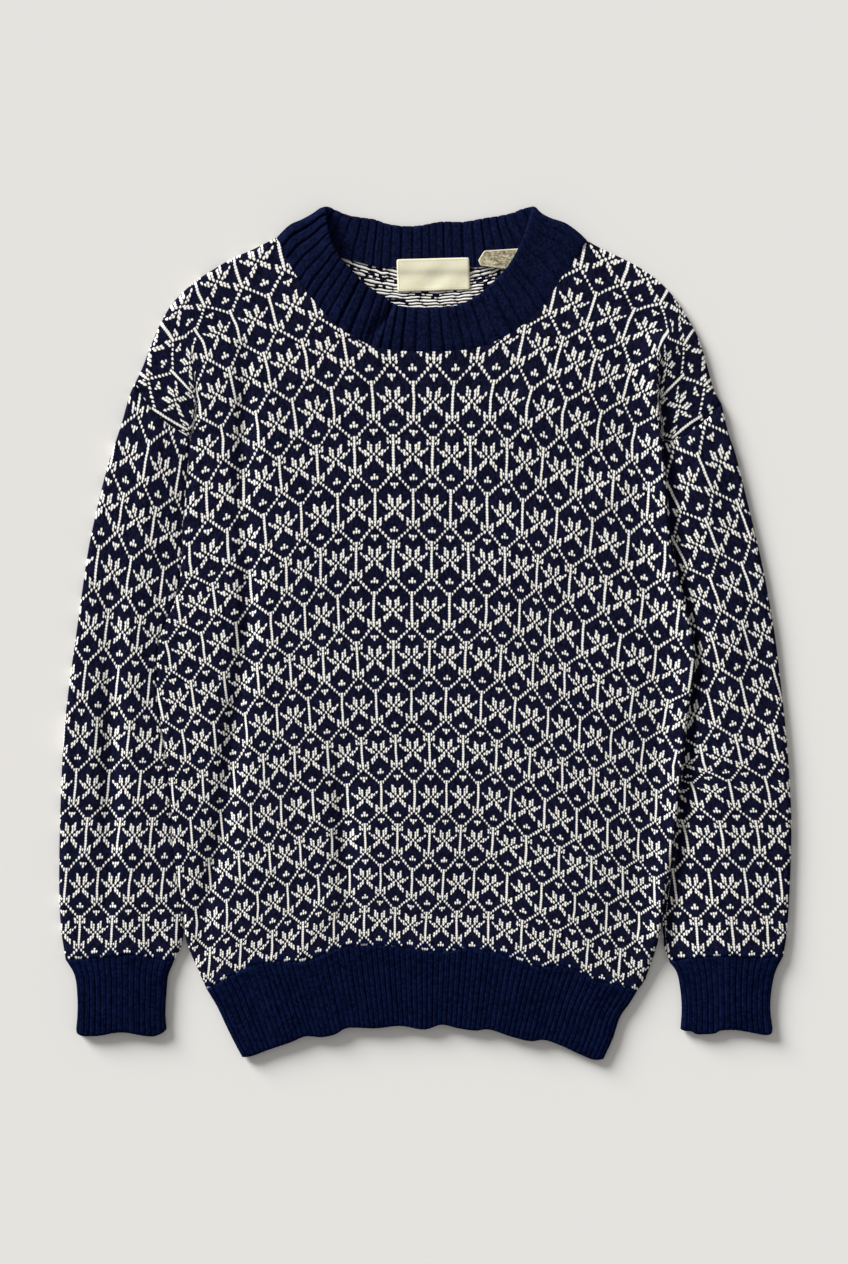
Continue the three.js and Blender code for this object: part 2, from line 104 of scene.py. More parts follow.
# --- Front and back panels --------------------------------------------------------------------
# Two panels of jacquard knit in navy and cream, each knitted to shape from its hem rib up. They
# are linked together down the sides and over the shoulders, and lie one on the other.
KNIT_WALL = 2.8
FOLD_HEIGHT = 3.6  # the side folds, above the table
TOP_HEIGHT = 7.6  # outer face of the front, near the side folds
FOLD_ROUND = 6.5  # how far in from a fold its rounding reaches
LOFT = 3.2  # how far the middle of a piece springs up
LOFT_REACH = 45.0
NECK_START = 0.25  # share of a panel's width from its edge to the corner of the neck
UNDERARM = 0.88  # share of a panel's length that lies below the underarm
PANEL_WIDTH = 400

# Outlines, with the columns x, y
left_side = [
    (-186, -303), (-193, -287), (-203, -262), (-207, -229), (-214, -185), (-217, -134),
    (-225, -74), (-228, -48), (-226, -6), (-210, 37), (-206, 90), (-203, 126), (-200, 166),
]
right_side = [
    (181, -304), (187, -295), (200, -256), (204, -225), (211, -185), (218, -129),
    (224, -70), (230, -19), (224, 17), (212, 66), (208, 96), (205, 138), (202, 162),
]
left_armhole = [(-200, 166), (-221, 180), (-236, 195), (-247, 212.5)]
right_armhole = [(202, 162), (218, 166.5), (235, 178), (252.5, 195)]
left_shoulder = [
    (-247, 212.5), (-241, 225), (-233, 246), (-224, 266), (-214, 282),
    (-196, 299), (-178, 311), (-162, 320), (-148, 326), (-126, 337),
]
right_shoulder = [
    (252.5, 195), (246, 207), (242, 221), (234, 248), (225, 266),
    (212, 286), (195, 303), (172, 317), (151, 327), (138, 334),
]
front_neckline = [
    (-126, 337), (-115, 313), (-95, 283), (-72, 259), (-42, 243), (4, 239),
    (47, 243), (77, 257.5), (101, 279), (121.5, 311), (138, 334),
]
back_neckline = [
    (-126, 337), (-83, 322.5), (-60, 317), (-42, 312.3), (4, 312), (47, 312), (75, 312.5), (102, 320),
    (138, 334),
]
hem_join = [
    (-186, -303), (-170, -294), (-148, -283), (-127, -279), (-102, -279), (-75, -268), (-56, -265.5),
    (-26, -266), (16, -271), (36, -267), (66, -273), (94, -283), (119, -283), (146, -295),
    (162, -299), (181, -304),
]

# Creases, as soft ridges (rise above 0) and troughs. Columns: x1, y1, x2, y2, half width, rise
creases = [
    (-195, 236, -194, 172, 4, -1.4),
    (201, 240, 202, 172, 4, -1.6),
    (-151, 240, -155, 75, 8, -5.0),
    (-151, 90, -149, -30, 8, -5.0),
    (-153, 0, -172, -180, 9, -6.4),
    (-171, -150, -189, -268, 9, -4.0),
    (-71, -106, -64, -240, 9, -5.0),
    (-193, 168, -214, 56, 6, -1.3),
    (196, 140, 219, -140, 8, 1.2),
    (-190, 150, -120, 60, 11, 1.1),
    (186, 150, 110, 70, 11, 1.0),
    (-60, -200, -120, -285, 10, 1.1),
    (60, -190, 118, -285, 10, 1.1),
    (-266, 30, -268, -230, 9, -5.6),
    (272, 60, 262, -60, 10, 1.0),
]

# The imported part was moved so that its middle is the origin. The lowest corner of the neck
# label's box says by how much.
LABEL_CORNER = (-24, 290.5)
label_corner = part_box("neck_label")[0]
SHIFT = np.array([label_corner[0] - LABEL_CORNER[0] * MM, label_corner[1] - LABEL_CORNER[1] * MM, 0])


def cubic(u, a, b, leave, arrive):
    """The cubic that runs from a with slope leave at u = 0 to b with slope arrive at u = 1."""
    return (
        (2 * u**3 - 3 * u**2 + 1) * a
        + (u**3 - 2 * u**2 + u) * leave
        + (3 * u**2 - 2 * u**3) * b
        + (u**3 - u**2) * arrive
    )


def along(line, share):
    """A chain of points as a function of the share at which each of them stands."""
    return lambda s: np.stack([np.interp(s, share, line[:, 0]), np.interp(s, share, line[:, 1])], -1)


def smooth_path(table, per_leg=24):
    """Centripetal Catmull-Rom curve through a table of points: on each leg a cubic whose slopes
    weigh the neighbouring legs by the root of their length. Returns it as a function of the
    share of its length."""
    p = np.array(table, float)
    p = np.vstack([2 * p[0] - p[1], p, 2 * p[-1] - p[-2]])
    gap = np.sqrt(np.linalg.norm(np.diff(p, axis=0), axis=1))[:, None]
    a, b, c = gap[:-2], gap[1:-1], gap[2:]
    x0, x1, x2, x3 = p[:-3], p[1:-2], p[2:-1], p[3:]
    leave = ((x1 - x0) / a - (x2 - x0) / (a + b) + (x2 - x1) / b) * b
    arrive = ((x2 - x1) / b - (x3 - x1) / (b + c) + (x3 - x2) / c) * b
    u = np.linspace(0, 1, per_leg, endpoint=False)[None, :, None]
    legs = cubic(u, x1[:, None], x2[:, None], leave[:, None], arrive[:, None])
    line = np.vstack([legs.reshape(-1, 2), p[-2]])
    length = np.append(0, np.cumsum(np.linalg.norm(np.diff(line, axis=0), axis=1)))
    return along(line, length / length[-1])


def chain(table, count):
    """That many points along the same curve, evenly spaced."""
    return smooth_path(table)(np.linspace(0, 1, count))


def path_by_width(table):
    """The same curve as a function of the share of its width along x."""
    line = chain(table, 600)
    return along(line, (line[:, 0] - line[0, 0]) / (line[-1, 0] - line[0, 0]))


def patch(start, end, left, right, hold, s, t):
    """Plan of a piece on the grid of t (rows) by s (columns): straight lines join start(s) to
    end(s), and each side pulls them to itself by (1 - s) ** hold."""
    across, down = s[None, :, None], t[:, None, None]
    plan = start(s)[None] * (1 - down) + end(s)[None] * down
    ends = np.array([0.0, 1.0])
    straight = start(ends)[None] * (1 - down) + end(ends)[None] * down
    plan = plan + (1 - across) ** hold * (left(t) - straight[:, 0])[:, None]
    return plan + across**hold * (right(t) - straight[:, 1])[:, None]


def distance_to(lines, plan):
    """Distance from each point of a plan to the nearest of some chains of straight legs."""
    nearest = np.full(plan.shape[:-1], 1e9)
    for line in lines:
        for a, b in zip(line[:-1], line[1:]):
            leg = b - a
            part = np.clip(((plan - a) @ leg) / (leg @ leg), 0, 1)
            nearest = np.minimum(nearest, np.linalg.norm(plan - a - part[..., None] * leg, axis=-1))
    return nearest


def crease_rise(plan, creases):
    """Sum of the creases: each is rise * exp(-(distance / half width) ** 2) beside its line, and
    fades out towards both of its ends as a sine."""
    rise = np.zeros(plan.shape[:-1])
    for x1, y1, x2, y2, half_width, height in creases:
        leg = np.array([x2 - x1, y2 - y1])
        part = ((plan - (x1, y1)) @ leg) / (leg @ leg)
        off = np.linalg.norm(plan - (x1, y1) - np.clip(part, 0, 1)[..., None] * leg, axis=-1)
        fade = np.sin(np.pi * np.clip(part, 0.12, 0.88))
        rise += height * fade * np.exp(-((off / half_width) ** 2))
    return rise


def handled(plan):
    """Slight unevenness of cloth that has been handled: three long sine waves that cross."""
    x, y = plan[..., 0], plan[..., 1]
    waves = np.sin(x / 17 + y / 41) + np.sin(y / 23 - x / 37 + 2) + np.sin((x + y) / 13 + 4) * 0.5
    return 0.22 * waves


def rounded(distance, reach):
    """0 on a fold and 1 once the distance has passed its reach: a quarter of an ellipse."""
    return np.sqrt(1 - (1 - np.clip(distance / reach, 0, 1)) ** 2)


def loft(distance):
    """Spring of the middle of a piece: LOFT * (1 - exp(-(distance / LOFT_REACH) ** 2))."""
    return LOFT * (1 - np.exp(-((distance / LOFT_REACH) ** 2)))


def fold_shares(width, count, reach):
    """Shares from 0 to 1 across a width, closer together within reach of both ends."""
    near = (1 - np.cos(np.linspace(0, np.pi / 2, 7))) * reach / width
    return np.concatenate([near[:-1], np.linspace(near[-1], 1 - near[-1], count), 1 - near[-2::-1]])


def cloth(name, points, stitches, finishes, ring=False, flip=False, wall=None, marks={}):
    """A cloth surface from a grid of points in millimetres and a grid of stitch counts, which
    are its UV map. A ring closes on itself across. A wall thickens it inwards. Each of the marks
    is a grid of numbers that becomes an attribute."""
    rows, columns = points.shape[:2]
    number = np.arange(rows * columns).reshape(rows, columns)
    if ring:
        number = np.hstack([number, number[:, :1]])
    order = [0, 3, 2, 1] if flip else [0, 1, 2, 3]

    def corners(grid):
        four = np.stack([grid[:-1, :-1], grid[:-1, 1:], grid[1:, 1:], grid[1:, :-1]], -1)
        return four.reshape(-1, 4)[:, order].ravel()

    loops = corners(number)
    mesh = bpy.data.meshes.new(name)
    mesh.vertices.add(rows * columns)
    mesh.vertices.foreach_set("co", (points.reshape(-1, 3) * MM + SHIFT).astype(np.float32).ravel())
    mesh.loops.add(len(loops))
    mesh.loops.foreach_set("vertex_index", loops.astype(np.int32))
    mesh.polygons.add(len(loops) // 4)
    mesh.polygons.foreach_set("loop_start", np.arange(0, len(loops), 4, dtype=np.int32))
    mesh.update(calc_edges=True)
    mesh.polygons.foreach_set("use_smooth", np.ones(len(loops) // 4, bool))
    counts = stitches.reshape(-1, 2)[corners(np.arange(stitches[..., 0].size).reshape(stitches.shape[:2]))]
    mesh.uv_layers.new(name="stitches").data.foreach_set("uv", counts.astype(np.float32).ravel())
    for key, values in marks.items():
        mark = mesh.attributes.new(key, "FLOAT", "POINT")
        mark.data.foreach_set("value", values.astype(np.float32).ravel())
    for finish in finishes:
        mesh.materials.append(finish)
    piece = bpy.data.objects.new(name, mesh)
    bpy.context.scene.collection.objects.link(piece)
    if wall:
        shell = piece.modifiers.new("wall", "SOLIDIFY")
        shell.thickness = wall * MM
        shell.offset = -1
        shell.material_offset = len(finishes) - 1
    return piece


# The repeat, one half of it from a bar to the middle between two bars. Each line is a course
# and x is a cream stitch. The second half of the chart is moved over by half a repeat, and
# differs only in its first three courses.
chart = [
    "xx......",
    "x.......",
    "x....x..",
    "x....xx.",
    "x.x..xx.",
    "x..xx.x.",
    "x...xx.x",
    "x.....x.",
    "x....xx.",
    "x...xx..",
    "x.x.x...",
    "xxx.....",
    "x.x.....",
    ".x.....x",
    "..x...xx",
    "...x....",
    "xx..x...",
    "x....x..",
]
chart = chart + ["xx......", "x.x.....", "xxx..x.."] + chart[3:]
REPEAT = 14  # stitches
COURSES = len(chart) // 2  # from one row of bars to the next
BAR_COURSE = 6.5  # the middle of a bar, in courses from the top of the chart
AHEAD = 20  # repeats added to every count, so that none is negative
REPEAT_WIDTH = 31.0  # of one repeat on the body, about

# How the repeats lie on the body. A row is one height of the chart, and the bars of even rows stand
# half way between those of odd ones. Each line: row, then x at evenly spaced repeats from 6 left
# of the middle to 6 right of it, then y in the same way.
body_lie = [
    (-4, (-240, -173, -88, 6, 99, 184, 256), (318, 356, 387, 402, 387, 357, 320)),
    (-3, (-224, -160, -83, 6, 96, 172, 239), (269, 308, 338, 353, 338, 309, 272)),
    (-2, (-203, -145, -77, 5, 91, 157, 218), (242, 267, 288, 296, 290, 269, 247)),
    (-1, (-192, -133, -68, 8, 82, 142, 199), (196, 223, 243, 247, 246, 224, 199)),
    (0, (-187, -126, -61, 7, 71, 132, 191), (158, 178, 196, 196, 196, 179, 158)),
    (2, (-184, -120, -58, 6, 68, 126, 188), (67, 91, 105, 106, 100, 86, 66)),
    (4, (-174, -116, -59, 5, 67, 119, 180), (-8, 7, 19, 19, 16, 1, -21)),
    (6, (-165, -112, -56, 3, 62, 118, 171), (-85, -71, -64, -60, -66, -81, -99)),
    (8, (-160, -109, -51, 5, 59, 115, 168), (-161, -149, -140, -139, -142, -158, -176)),
    (10, (-155, -103, -51, 2, 55, 113, 168), (-236, -222, -208, -214, -213, -229, -245)),
    (11.6, (-158, -104, -52, 0, 53, 108, 164), (-295, -279, -266, -270, -272, -286, -303)),
]
# Outside a crease that runs up from each underarm the repeats lie turned. Here the places are
# given from 8.5 to 4.5 repeats out. The crease, as x, y, ends at y 240 and fades out above it.
caps = [
    {
        "side": -1,
        "crease": [
            (-199.8, 164), (-195.5, 181), (-194.6, 198), (-195.5, 211), (-196.5, 232),
            (-199, 250), (-208, 275), (-215, 292),
        ],
        "lie": [
            (-3, (-270, -259, -234, -208, -178), (171, 208, 241, 275, 298)),
            (-2, (-225, -217, -207, -191, -161), (149, 182, 214, 244, 263)),
        ],
        "reach": (-8.5, -4.5),
    },
    {
        "side": 1,
        "crease": [
            (201.5, 164), (199.5, 190), (198.5, 215), (200, 240), (207, 258), (217, 285), (226, 305),
        ],
        "lie": [
            (-3, (187, 215, 238, 258, 272), (296, 270, 239, 202, 164)),
            (-2, (171, 199, 210, 223, 234), (262, 244, 210, 176, 142)),
        ],
        "reach": (4.5, 8.5),
    },
]
CREASE_TOP = 240.0
CREASE_FADE = 0.3  # growth of the width that the crease fades over, for each millimetre above it
CREASE_WIDTH = (0.6, 14)  # least and most of that width


def across_row(stations, u, reach):
    """Value at repeat u of a row that is given at evenly spaced stations over its reach: on each
    leg a cubic whose slopes are the chords between the neighbouring stations, and straight on
    beyond the ends."""
    count = stations.shape[-1]
    place = (u - reach[0]) / (reach[1] - reach[0]) * (count - 1)
    leg = np.clip(np.floor(place), 0, count - 2).astype(int)
    slopes = np.gradient(stations, axis=-1)
    a, b, leave, arrive = (
        np.take_along_axis(grid, number[..., None], -1)[..., 0]
        for grid, number in ((stations, leg), (stations, leg + 1), (slopes, leg), (slopes, leg + 1))
    )
    past = place - leg
    inside = cubic(np.clip(past, 0, 1), a, b, leave, arrive)
    return inside + np.minimum(past, 0) * leave + np.maximum(past - 1, 0) * arrive


def place_of(lie, u, v, reach):
    """x and y of repeat u on row v: straight from one row of the table to the next."""
    rows, xs, ys = (np.array(part, float) for part in zip(*lie))
    k = np.clip(np.searchsorted(rows, v, side="right") - 1, 0, len(rows) - 2)
    f = ((v - rows[k]) / (rows[k + 1] - rows[k]))[..., None]
    return [across_row(grid[k] * (1 - f) + grid[k + 1] * f, u, reach) for grid in (xs, ys)]


def counts_in(lie, plan, reach, u, rounds=25, step=0.01):
    """Repeat u and row v at each point of a plan, by Newton's method from a first guess of u."""
    v = np.full(u.shape, float(lie[len(lie) // 2][0]))
    for _ in range(rounds):
        x, y = place_of(lie, u, v, reach)
        x_u, y_u = place_of(lie, u + step, v, reach)
        x_v, y_v = place_of(lie, u, v + step, reach)
        a, b, c, d = (x_u - x) / step, (x_v - x) / step, (y_u - y) / step, (y_v - y) / step
        off_x, off_y = plan[..., 0] - x, plan[..., 1] - y
        u = u + np.clip((d * off_x - b * off_y) / (a * d - b * c), -1, 1)
        v = v + np.clip((a * off_y - c * off_x) / (a * d - b * c), -1, 1)
    return np.stack([u, v], -1)


def stitch_counts(u, v):
    """Stitch and course at repeat u on row v."""
    return np.stack([REPEAT * (u + AHEAD) + 0.5, COURSES * (v + AHEAD) + BAR_COURSE], -1)


def body_counts(plan):
    """Stitch and course at each point of the body: those of the body's own lie, and beyond each
    crease those of the cap, mixed over a width that grows upwards from the crease's end."""
    x, y = plan[..., 0], plan[..., 1]
    lie = counts_in(body_lie, plan, (-6, 6), x / REPEAT_WIDTH)
    for cap in caps:
        crease = np.array(cap["crease"], float)
        beyond = (x - np.interp(y, crease[:, 1], crease[:, 0])) * cap["side"]
        width = np.clip(CREASE_FADE * (y - CREASE_TOP), *CREASE_WIDTH)
        share = np.clip(0.5 + beyond / (2 * width), 0, 1) * (y > crease[0, 1])
        turned = counts_in(cap["lie"], plan, cap["reach"], np.full(x.shape, np.mean(cap["reach"])))
        lie = lie + share[..., None] * (turned - lie)
    return stitch_counts(lie[..., 0], lie[..., 1])


class Amount:
    """A number or colour that varies over a surface, as the output of a node. Arithmetic on it
    adds Math nodes, and > and < give 1 or 0."""

    def __init__(self, output):
        self.output = output
        self.tree = output.id_data

    def operator(operation, turned=False):
        """A method that adds this Math node, with its two values turned round or not."""
        if turned:
            return lambda self, other: calc(operation, other, self)
        return lambda self, *other: calc(operation, self, *other)

    __abs__ = operator("ABSOLUTE")
    __add__ = __radd__ = operator("ADD")
    __sub__ = operator("SUBTRACT")
    __rsub__ = operator("SUBTRACT", turned=True)
    __mul__ = __rmul__ = operator("MULTIPLY")
    __truediv__ = operator("DIVIDE")
    __mod__ = operator("MODULO")
    __pow__ = operator("POWER")
    __rpow__ = operator("POWER", turned=True)
    __gt__ = operator("GREATER_THAN")
    __lt__ = operator("LESS_THAN")


def feed(socket, value):
    """Gives a socket an amount, a colour or a plain number."""
    if isinstance(value, Amount):
        value.tree.links.new(value.output, socket)
    else:
        socket.default_value = (*value, 1) if isinstance(value, tuple) else value


def add_node(tree, kind, outputs, inputs, **settings):
    """Adds a node with its settings and what its inputs are fed, and returns its outputs."""
    node = tree.nodes.new("ShaderNode" + kind)
    for key, value in settings.items():
        setattr(node, key, value)
    for key, value in inputs.items():
        feed(node.inputs[key], value)
    return [Amount(node.outputs[key]) for key in outputs]


def calc(operation, *values):
    """A Math node on amounts and plain numbers, as a new amount."""
    tree = next(value.tree for value in values if isinstance(value, Amount))
    return add_node(tree, "Math", [0], dict(enumerate(values)), operation=operation)[0]


floor, fract, sine, least, most = (
    functools.partial(calc, word) for word in ("FLOOR", "FRACT", "SINE", "MINIMUM", "MAXIMUM")
)


def held(amount):
    """Kept between 0 and 1."""
    return least(most(amount, 0), 1)


def blend(share, low, high):
    """Mix of two colours by a share."""
    return add_node(share.tree, "Mix", [2], {"Factor": share, 6: low, 7: high}, data_type="RGBA")[0]


def scaled(colour, share):
    """A colour made darker or lighter by a share."""
    return add_node(share.tree, "VectorMath", [0], {0: colour, "Scale": share}, operation="SCALE")[0]


def grain(tree, scale, detail=2.0):
    """Noise on Object coordinates, as fibres and unevenness of the yarn are."""
    (place,) = add_node(tree, "TexCoord", ["Object"], {})
    return add_node(tree, "TexNoise", ["Fac"], {"Vector": place, "Scale": scale, "Detail": detail})[0]


def speckle(across, along=0.0):
    """A number between 0 and 1 that is the same all over one stitch."""
    (place,) = add_node(across.tree, "CombineXYZ", [0], {"X": across, "Y": along})
    return add_node(
        across.tree, "TexWhiteNoise", ["Value"], {"Vector": place}, noise_dimensions="2D"
    )[0]


def counted(tree):
    """The piece's own stitch and course counts, from its UV map."""
    (counts,) = add_node(tree, "UVMap", ["UV"], {}, uv_map="stitches")
    return add_node(tree, "SeparateXYZ", ["X", "Y"], {0: counts})


def marked(tree, key):
    """One of the marks that cloth() gave the piece."""
    return add_node(tree, "Attribute", ["Fac"], {}, attribute_name=key)[0]


def new_finish(name, roughness, specular, sheen):
    """A Principled material with a matt, slightly hairy surface, and its tree."""
    finish = bpy.data.materials.new(name)
    finish.use_nodes = True
    surface = finish.node_tree.nodes["Principled BSDF"]
    surface.inputs["Roughness"].default_value = roughness
    surface.inputs["Specular IOR Level"].default_value = specular
    surface.inputs["Sheen Weight"].default_value = sheen
    surface.inputs["Sheen Roughness"].default_value = 0.5
    return finish, finish.node_tree


def face(tree, colour, height, depth):
    """Gives a material its colour, and its height as bump of the given depth in metres."""
    surface = tree.nodes["Principled BSDF"]
    (bump,) = add_node(tree, "Bump", ["Normal"], {"Height": height, "Distance": depth})
    feed(surface.inputs["Normal"], bump)
    feed(surface.inputs["Base Color"], colour)


def from_bar(stitch, course):
    """Signed distance in stitches from the middle of the nearest bar, and the line of the chart.
    The second half of the chart is moved over by half a repeat."""
    line = floor(course) % len(chart)
    moved = (line > COURSES - 0.5) * (REPEAT / 2)
    around = (stitch + moved - 0.5) % REPEAT
    return around - REPEAT / 2, line


def is_cream(column, line):
    """1 where the chart has a cream stitch. A ramp holds each course of the chart as a number
    whose binary digits are its stitches, counted from the bar outwards: as red for the first
    half of the chart, and as green for the second half."""
    ramp = line.tree.nodes.new("ShaderNodeValToRGB")
    ramp.color_ramp.interpolation = "CONSTANT"
    digits = 2 ** len(chart[0])
    values = [sum(2**place for place, mark in enumerate(text) if mark == "x") / digits for text in chart]
    for number in range(COURSES):
        stops = ramp.color_ramp.elements
        stop = stops[number] if number < 2 else stops.new(number / COURSES)
        stop.position = number / COURSES
        stop.color = (values[number], values[number + COURSES], 0, 1)
    feed(ramp.inputs[0], (line % COURSES + 0.5) / COURSES)
    both = Amount(ramp.outputs[0])
    first, second = add_node(line.tree, "SeparateColor", ["Red", "Green"], {0: both})
    # A quarter is added so that no whole number is missed by rounding
    word = (first + (line > COURSES - 0.5) * (second - first)) * digits + 0.25
    return floor(word / 2**column) % 2


NAVY = (0.0056, 0.0062, 0.0200)
RIB_NAVY = (0.0030, 0.0060, 0.0270)
CREAM = (1.0, 0.97, 0.90)
LEG_SLOPE = 0.5  # how steep the two legs of a stitch are
GRAIN_LEAN = 0.24  # how far a cream stitch leans, in stitches for each course
GRAIN_HALF = (0.46, 0.62)  # half its width in stitches and half its length in courses
UPRIGHT_HALF = 0.63  # half the length of those in the slanting lines
BAR_HALF = 0.55  # half the width of a bar's stitch
GRAIN_SPREAD = 0.6  # how unlike each other the cream stitches are
YARN_WANDER = 0.25  # how far stitches stray, in stitches
ROW_WANDER = 1.2  # how far whole figures stray, in stitches
COURSE_HEIGHT = 2.52
JOIN_CLEAR = 0.4  # how far above a join the middle of the first cream stitch is
JOIN_REACH = 7.0  # how far above a rib the navy has begun to turn into the rib's
YARN_DEPTH = 0.0006  # relief of a stitch, in metres


def cream_grain(stitch, course, row, from_join):
    """How far inside a cream stitch of one row of the chart a point is: 1 in its middle, 0 on
    its edge and beyond. It is 1 - (across / half width) ** 2 - (down / half length) ** 2, with
    both squares made larger or smaller by chance. A stitch whose middle lies on a join with rib
    is left out whole. Lines of the chart and columns beside the bar are told apart half way
    between two of them."""
    off, line = from_bar(stitch, row + 0.5)
    beside_bar = abs(off)
    within = line % COURSES
    in_bar = (beside_bar < 0.8) * (within < 11.5)
    column = floor(beside_bar + 0.5) * (1 - in_bar)
    across = beside_bar - column
    down = course - (row + 0.5)
    on_axis = most(column < 0.5, column > 6.5)
    # Grains lean away from the middle of a star, and outwards at the ends of a bar
    lower_star = (within > 6.5) * (within < 10.5)
    head = (within > 0.5) * (within < 2.5)
    foot = (within > 9.5) * (within < 12.5)
    ends = most(most(head, foot), within > 15.5) * (column < 2.5)
    # Those of the slanting lines, on the axis of a star and in a bar stand upright
    upright = most(within > 12.5, within < 0.5) * (1 - ends)
    lean = (0.5 - most(lower_star, ends)) * (2 * GRAIN_LEAN)
    lean = lean * (1 - most(on_axis, upright))
    half = GRAIN_HALF[0] + in_bar * (BAR_HALF - GRAIN_HALF[0])
    beside = (across - down * lean) / half
    alone = upright * (column < 5.5)
    along = down / (GRAIN_HALF[1] + alone * (UPRIGHT_HALF - GRAIN_HALF[1]))
    thin = (speckle(floor(stitch), row) - 0.45) * GRAIN_SPREAD * (1 - in_bar)
    dome = 1 - (beside * beside + along * along) * (thin + 1)
    clear = from_join + down * COURSE_HEIGHT > JOIN_CLEAR
    return most(dome, 0) * clear * is_cream(column, line)


# Right side of the jacquard. A navy stitch is a V of two legs. A cream stitch stands out of them
# as one slanting grain, longer than its course, and those of a bar join up to a chain.
jacquard, tree = new_finish("jacquard", roughness=0.95, specular=0.02, sheen=0.0)
stitch, course = counted(tree)
stray = (grain(tree, 260) - 0.5) * YARN_WANDER + (grain(tree, 42) - 0.5) * ROW_WANDER
stitch = stitch + stray
leg = abs(fract(stitch) - 0.5)
course = course + stray + (leg - 0.25) * LEG_SLOPE
from_join = marked(tree, "from_join")
row = floor(course)
nearest = row + calc("SIGN", fract(course) - 0.5)
dome = most(
    cream_grain(stitch, course, row, from_join),
    cream_grain(stitch, course, nearest, from_join),
)
shows = least(dome * 5, 1)
along_leg = abs(fract(course) - 0.5) * 2
across_leg = abs(leg - 0.25) * 4
loop = (1 - across_leg**2 * 0.6) * (1 - along_leg**4 * 0.6)
fibre = grain(tree, 1500, detail=3.0)
uneven = speckle(floor(stitch * 2), row)
# Painted shade: cream is lighter in the middle of its grain and darker towards its edge, and navy is
# lighter along the middle of each leg and darker between legs and loops. Both also vary at random from
# stitch to stitch.
cream_shade_and_unevenness = (0.62 + dome**0.7 * 0.5) * (0.9 + uneven * 0.1)
navy_shade_and_unevenness = 0.2 + (loop * 0.4 + uneven * 1.3)
tone = (shows * cream_shade_and_unevenness + (1 - shows) * navy_shade_and_unevenness) * (0.9 + fibre * 0.2)
# Down at a join, the navy becomes the rib's
navy_here = blend(held((1 - from_join / JOIN_REACH) * 2), NAVY, RIB_NAVY)
relief = loop * 0.6 + shows * 0.5 + fibre * 0.2
face(tree, scaled(blend(shows, navy_here, CREAM), tone), relief, YARN_DEPTH)

# Wrong side: the yarn that a stitch doesn't use runs behind it as a level strand. Most strands
# that show are cream, with short lengths of navy between them.
STRANDS = 1.12  # for each course
STRAND_PULL = 6.0  # how far strands are pulled along past each other, in stitches
STRAND_REPEAT = 5.0  # stitches from one catch of a strand to the next
STRAND_DEPTH = 0.0009
reverse, tree = new_finish("jacquard_reverse", roughness=0.95, specular=0.02, sheen=0.0)
stitch, course = counted(tree)
level = (course + (grain(tree, 110) - 0.5) * 0.9) * STRANDS
pulled = stitch + (speckle(floor(level)) - 0.5) * STRAND_PULL
off, line = from_bar(pulled, course)
length = pulled * (1 / STRAND_REPEAT)
broken = speckle(floor(length), floor(level))
under = is_cream(floor(abs(off) + 0.5), line) * (broken > 0.62)
strand = sine(fract(level) * np.pi)
# A strand is thickest half way along and thin where it is caught
caught = abs(fract(length) * 2 - 1)
hidden = 0.42 + caught**4 * 0.45 + broken * 0.15
shows = held((strand - hidden) * 6) * (1 - under)
# Painted shade: each strand is lighter along its middle and darker at its sides, with fibre noise on top.
tone = 0.45 + (grain(tree, 900, detail=3.0) * 0.5 + strand * 0.3)
face(tree, scaled(blend(shows, NAVY, CREAM), tone), strand, STRAND_DEPTH)

side_folds = [chain(table, 61) for table in (left_side, right_side, left_shoulder, right_shoulder)]
armhole_seams = [np.array(left_armhole, float), np.array(right_armhole, float)]
join_line = chain(hem_join, 81)


def panel_edge(side, armhole):
    """Up the side to the underarm, then along the armhole."""
    up_side, up_armhole = smooth_path(side), smooth_path(armhole)
    return lambda t: np.where(
        (t < UNDERARM)[:, None], up_side(t / UNDERARM), up_armhole((t - UNDERARM) / (1 - UNDERARM))
    )


def panel_top(neckline):
    """Up the left shoulder, round the neck and down the right shoulder."""
    left, right = smooth_path(left_shoulder), smooth_path(right_shoulder[::-1])
    neck = path_by_width(neckline)

    def at(s):
        first, last = left(s / NECK_START), right((s - 1 + NECK_START) / NECK_START)
        middle = neck((s - NECK_START) / (1 - 2 * NECK_START))
        s = s[:, None]
        return np.where(s <= NECK_START, first, np.where(s < 1 - NECK_START, middle, last))

    return at


def panel_plan(neckline, columns, rows):
    """Plan of a panel, with that many columns between its rounded sides and rows below its
    underarm. Above it the rows draw together as a sine does."""
    s = fold_shares(PANEL_WIDTH, columns, FOLD_ROUND)
    above = np.sin(np.linspace(0, np.pi / 2, rows // 6))[1:]
    t = np.append(np.linspace(0, UNDERARM, rows), UNDERARM + (1 - UNDERARM) * above)
    return patch(
        path_by_width(hem_join),
        panel_top(neckline),
        panel_edge(left_side, left_armhole),
        panel_edge(right_side, right_armhole),
        hold=4, s=s, t=t,
    )


def seam_dip(plan, seams, depth=1.3, reach=3.5):
    """How far the cloth is drawn down beside a seam: depth * exp(-(distance / reach) ** 2)."""
    return depth * np.exp(-((distance_to(seams, plan) / reach) ** 2))


# The left side fold leans on its sleeve and stays high. The right one stands over its sleeve.
# Its step runs on up the crease of the cap, and the sleeve rises out of the valley beside it.
LEFT_LIFT = 2.4
LEFT_REACH = 12.0
LEFT_END = -265.0  # y where the lift ends
LEFT_FADE = 40.0  # length over which it grows above that
PROUD_RISE = 6.4
PROUD_HALF = 15.0  # half the width of the ridge
PROUD_ROUND = 3.0
PROUD_SIDE = 10.0  # how near the right fold the rounding is that narrow
PROUD_END = -298.0  # y where the ridge has come down to the rest of the panel
PROUD_FADE = 50.0
VALLEY_FLOOR = 3.0
VALLEY_REACH = 27.0
VALLEY_TOP = 256.0  # y where the step has faded out
VALLEY_FADE = 90.0


def smooth_step(x):
    """0 up to 0 and 1 from 1 on, and 3x ** 2 - 2x ** 3 between them."""
    x = np.clip(x, 0, 1)
    return x**2 * (3 - 2 * x)


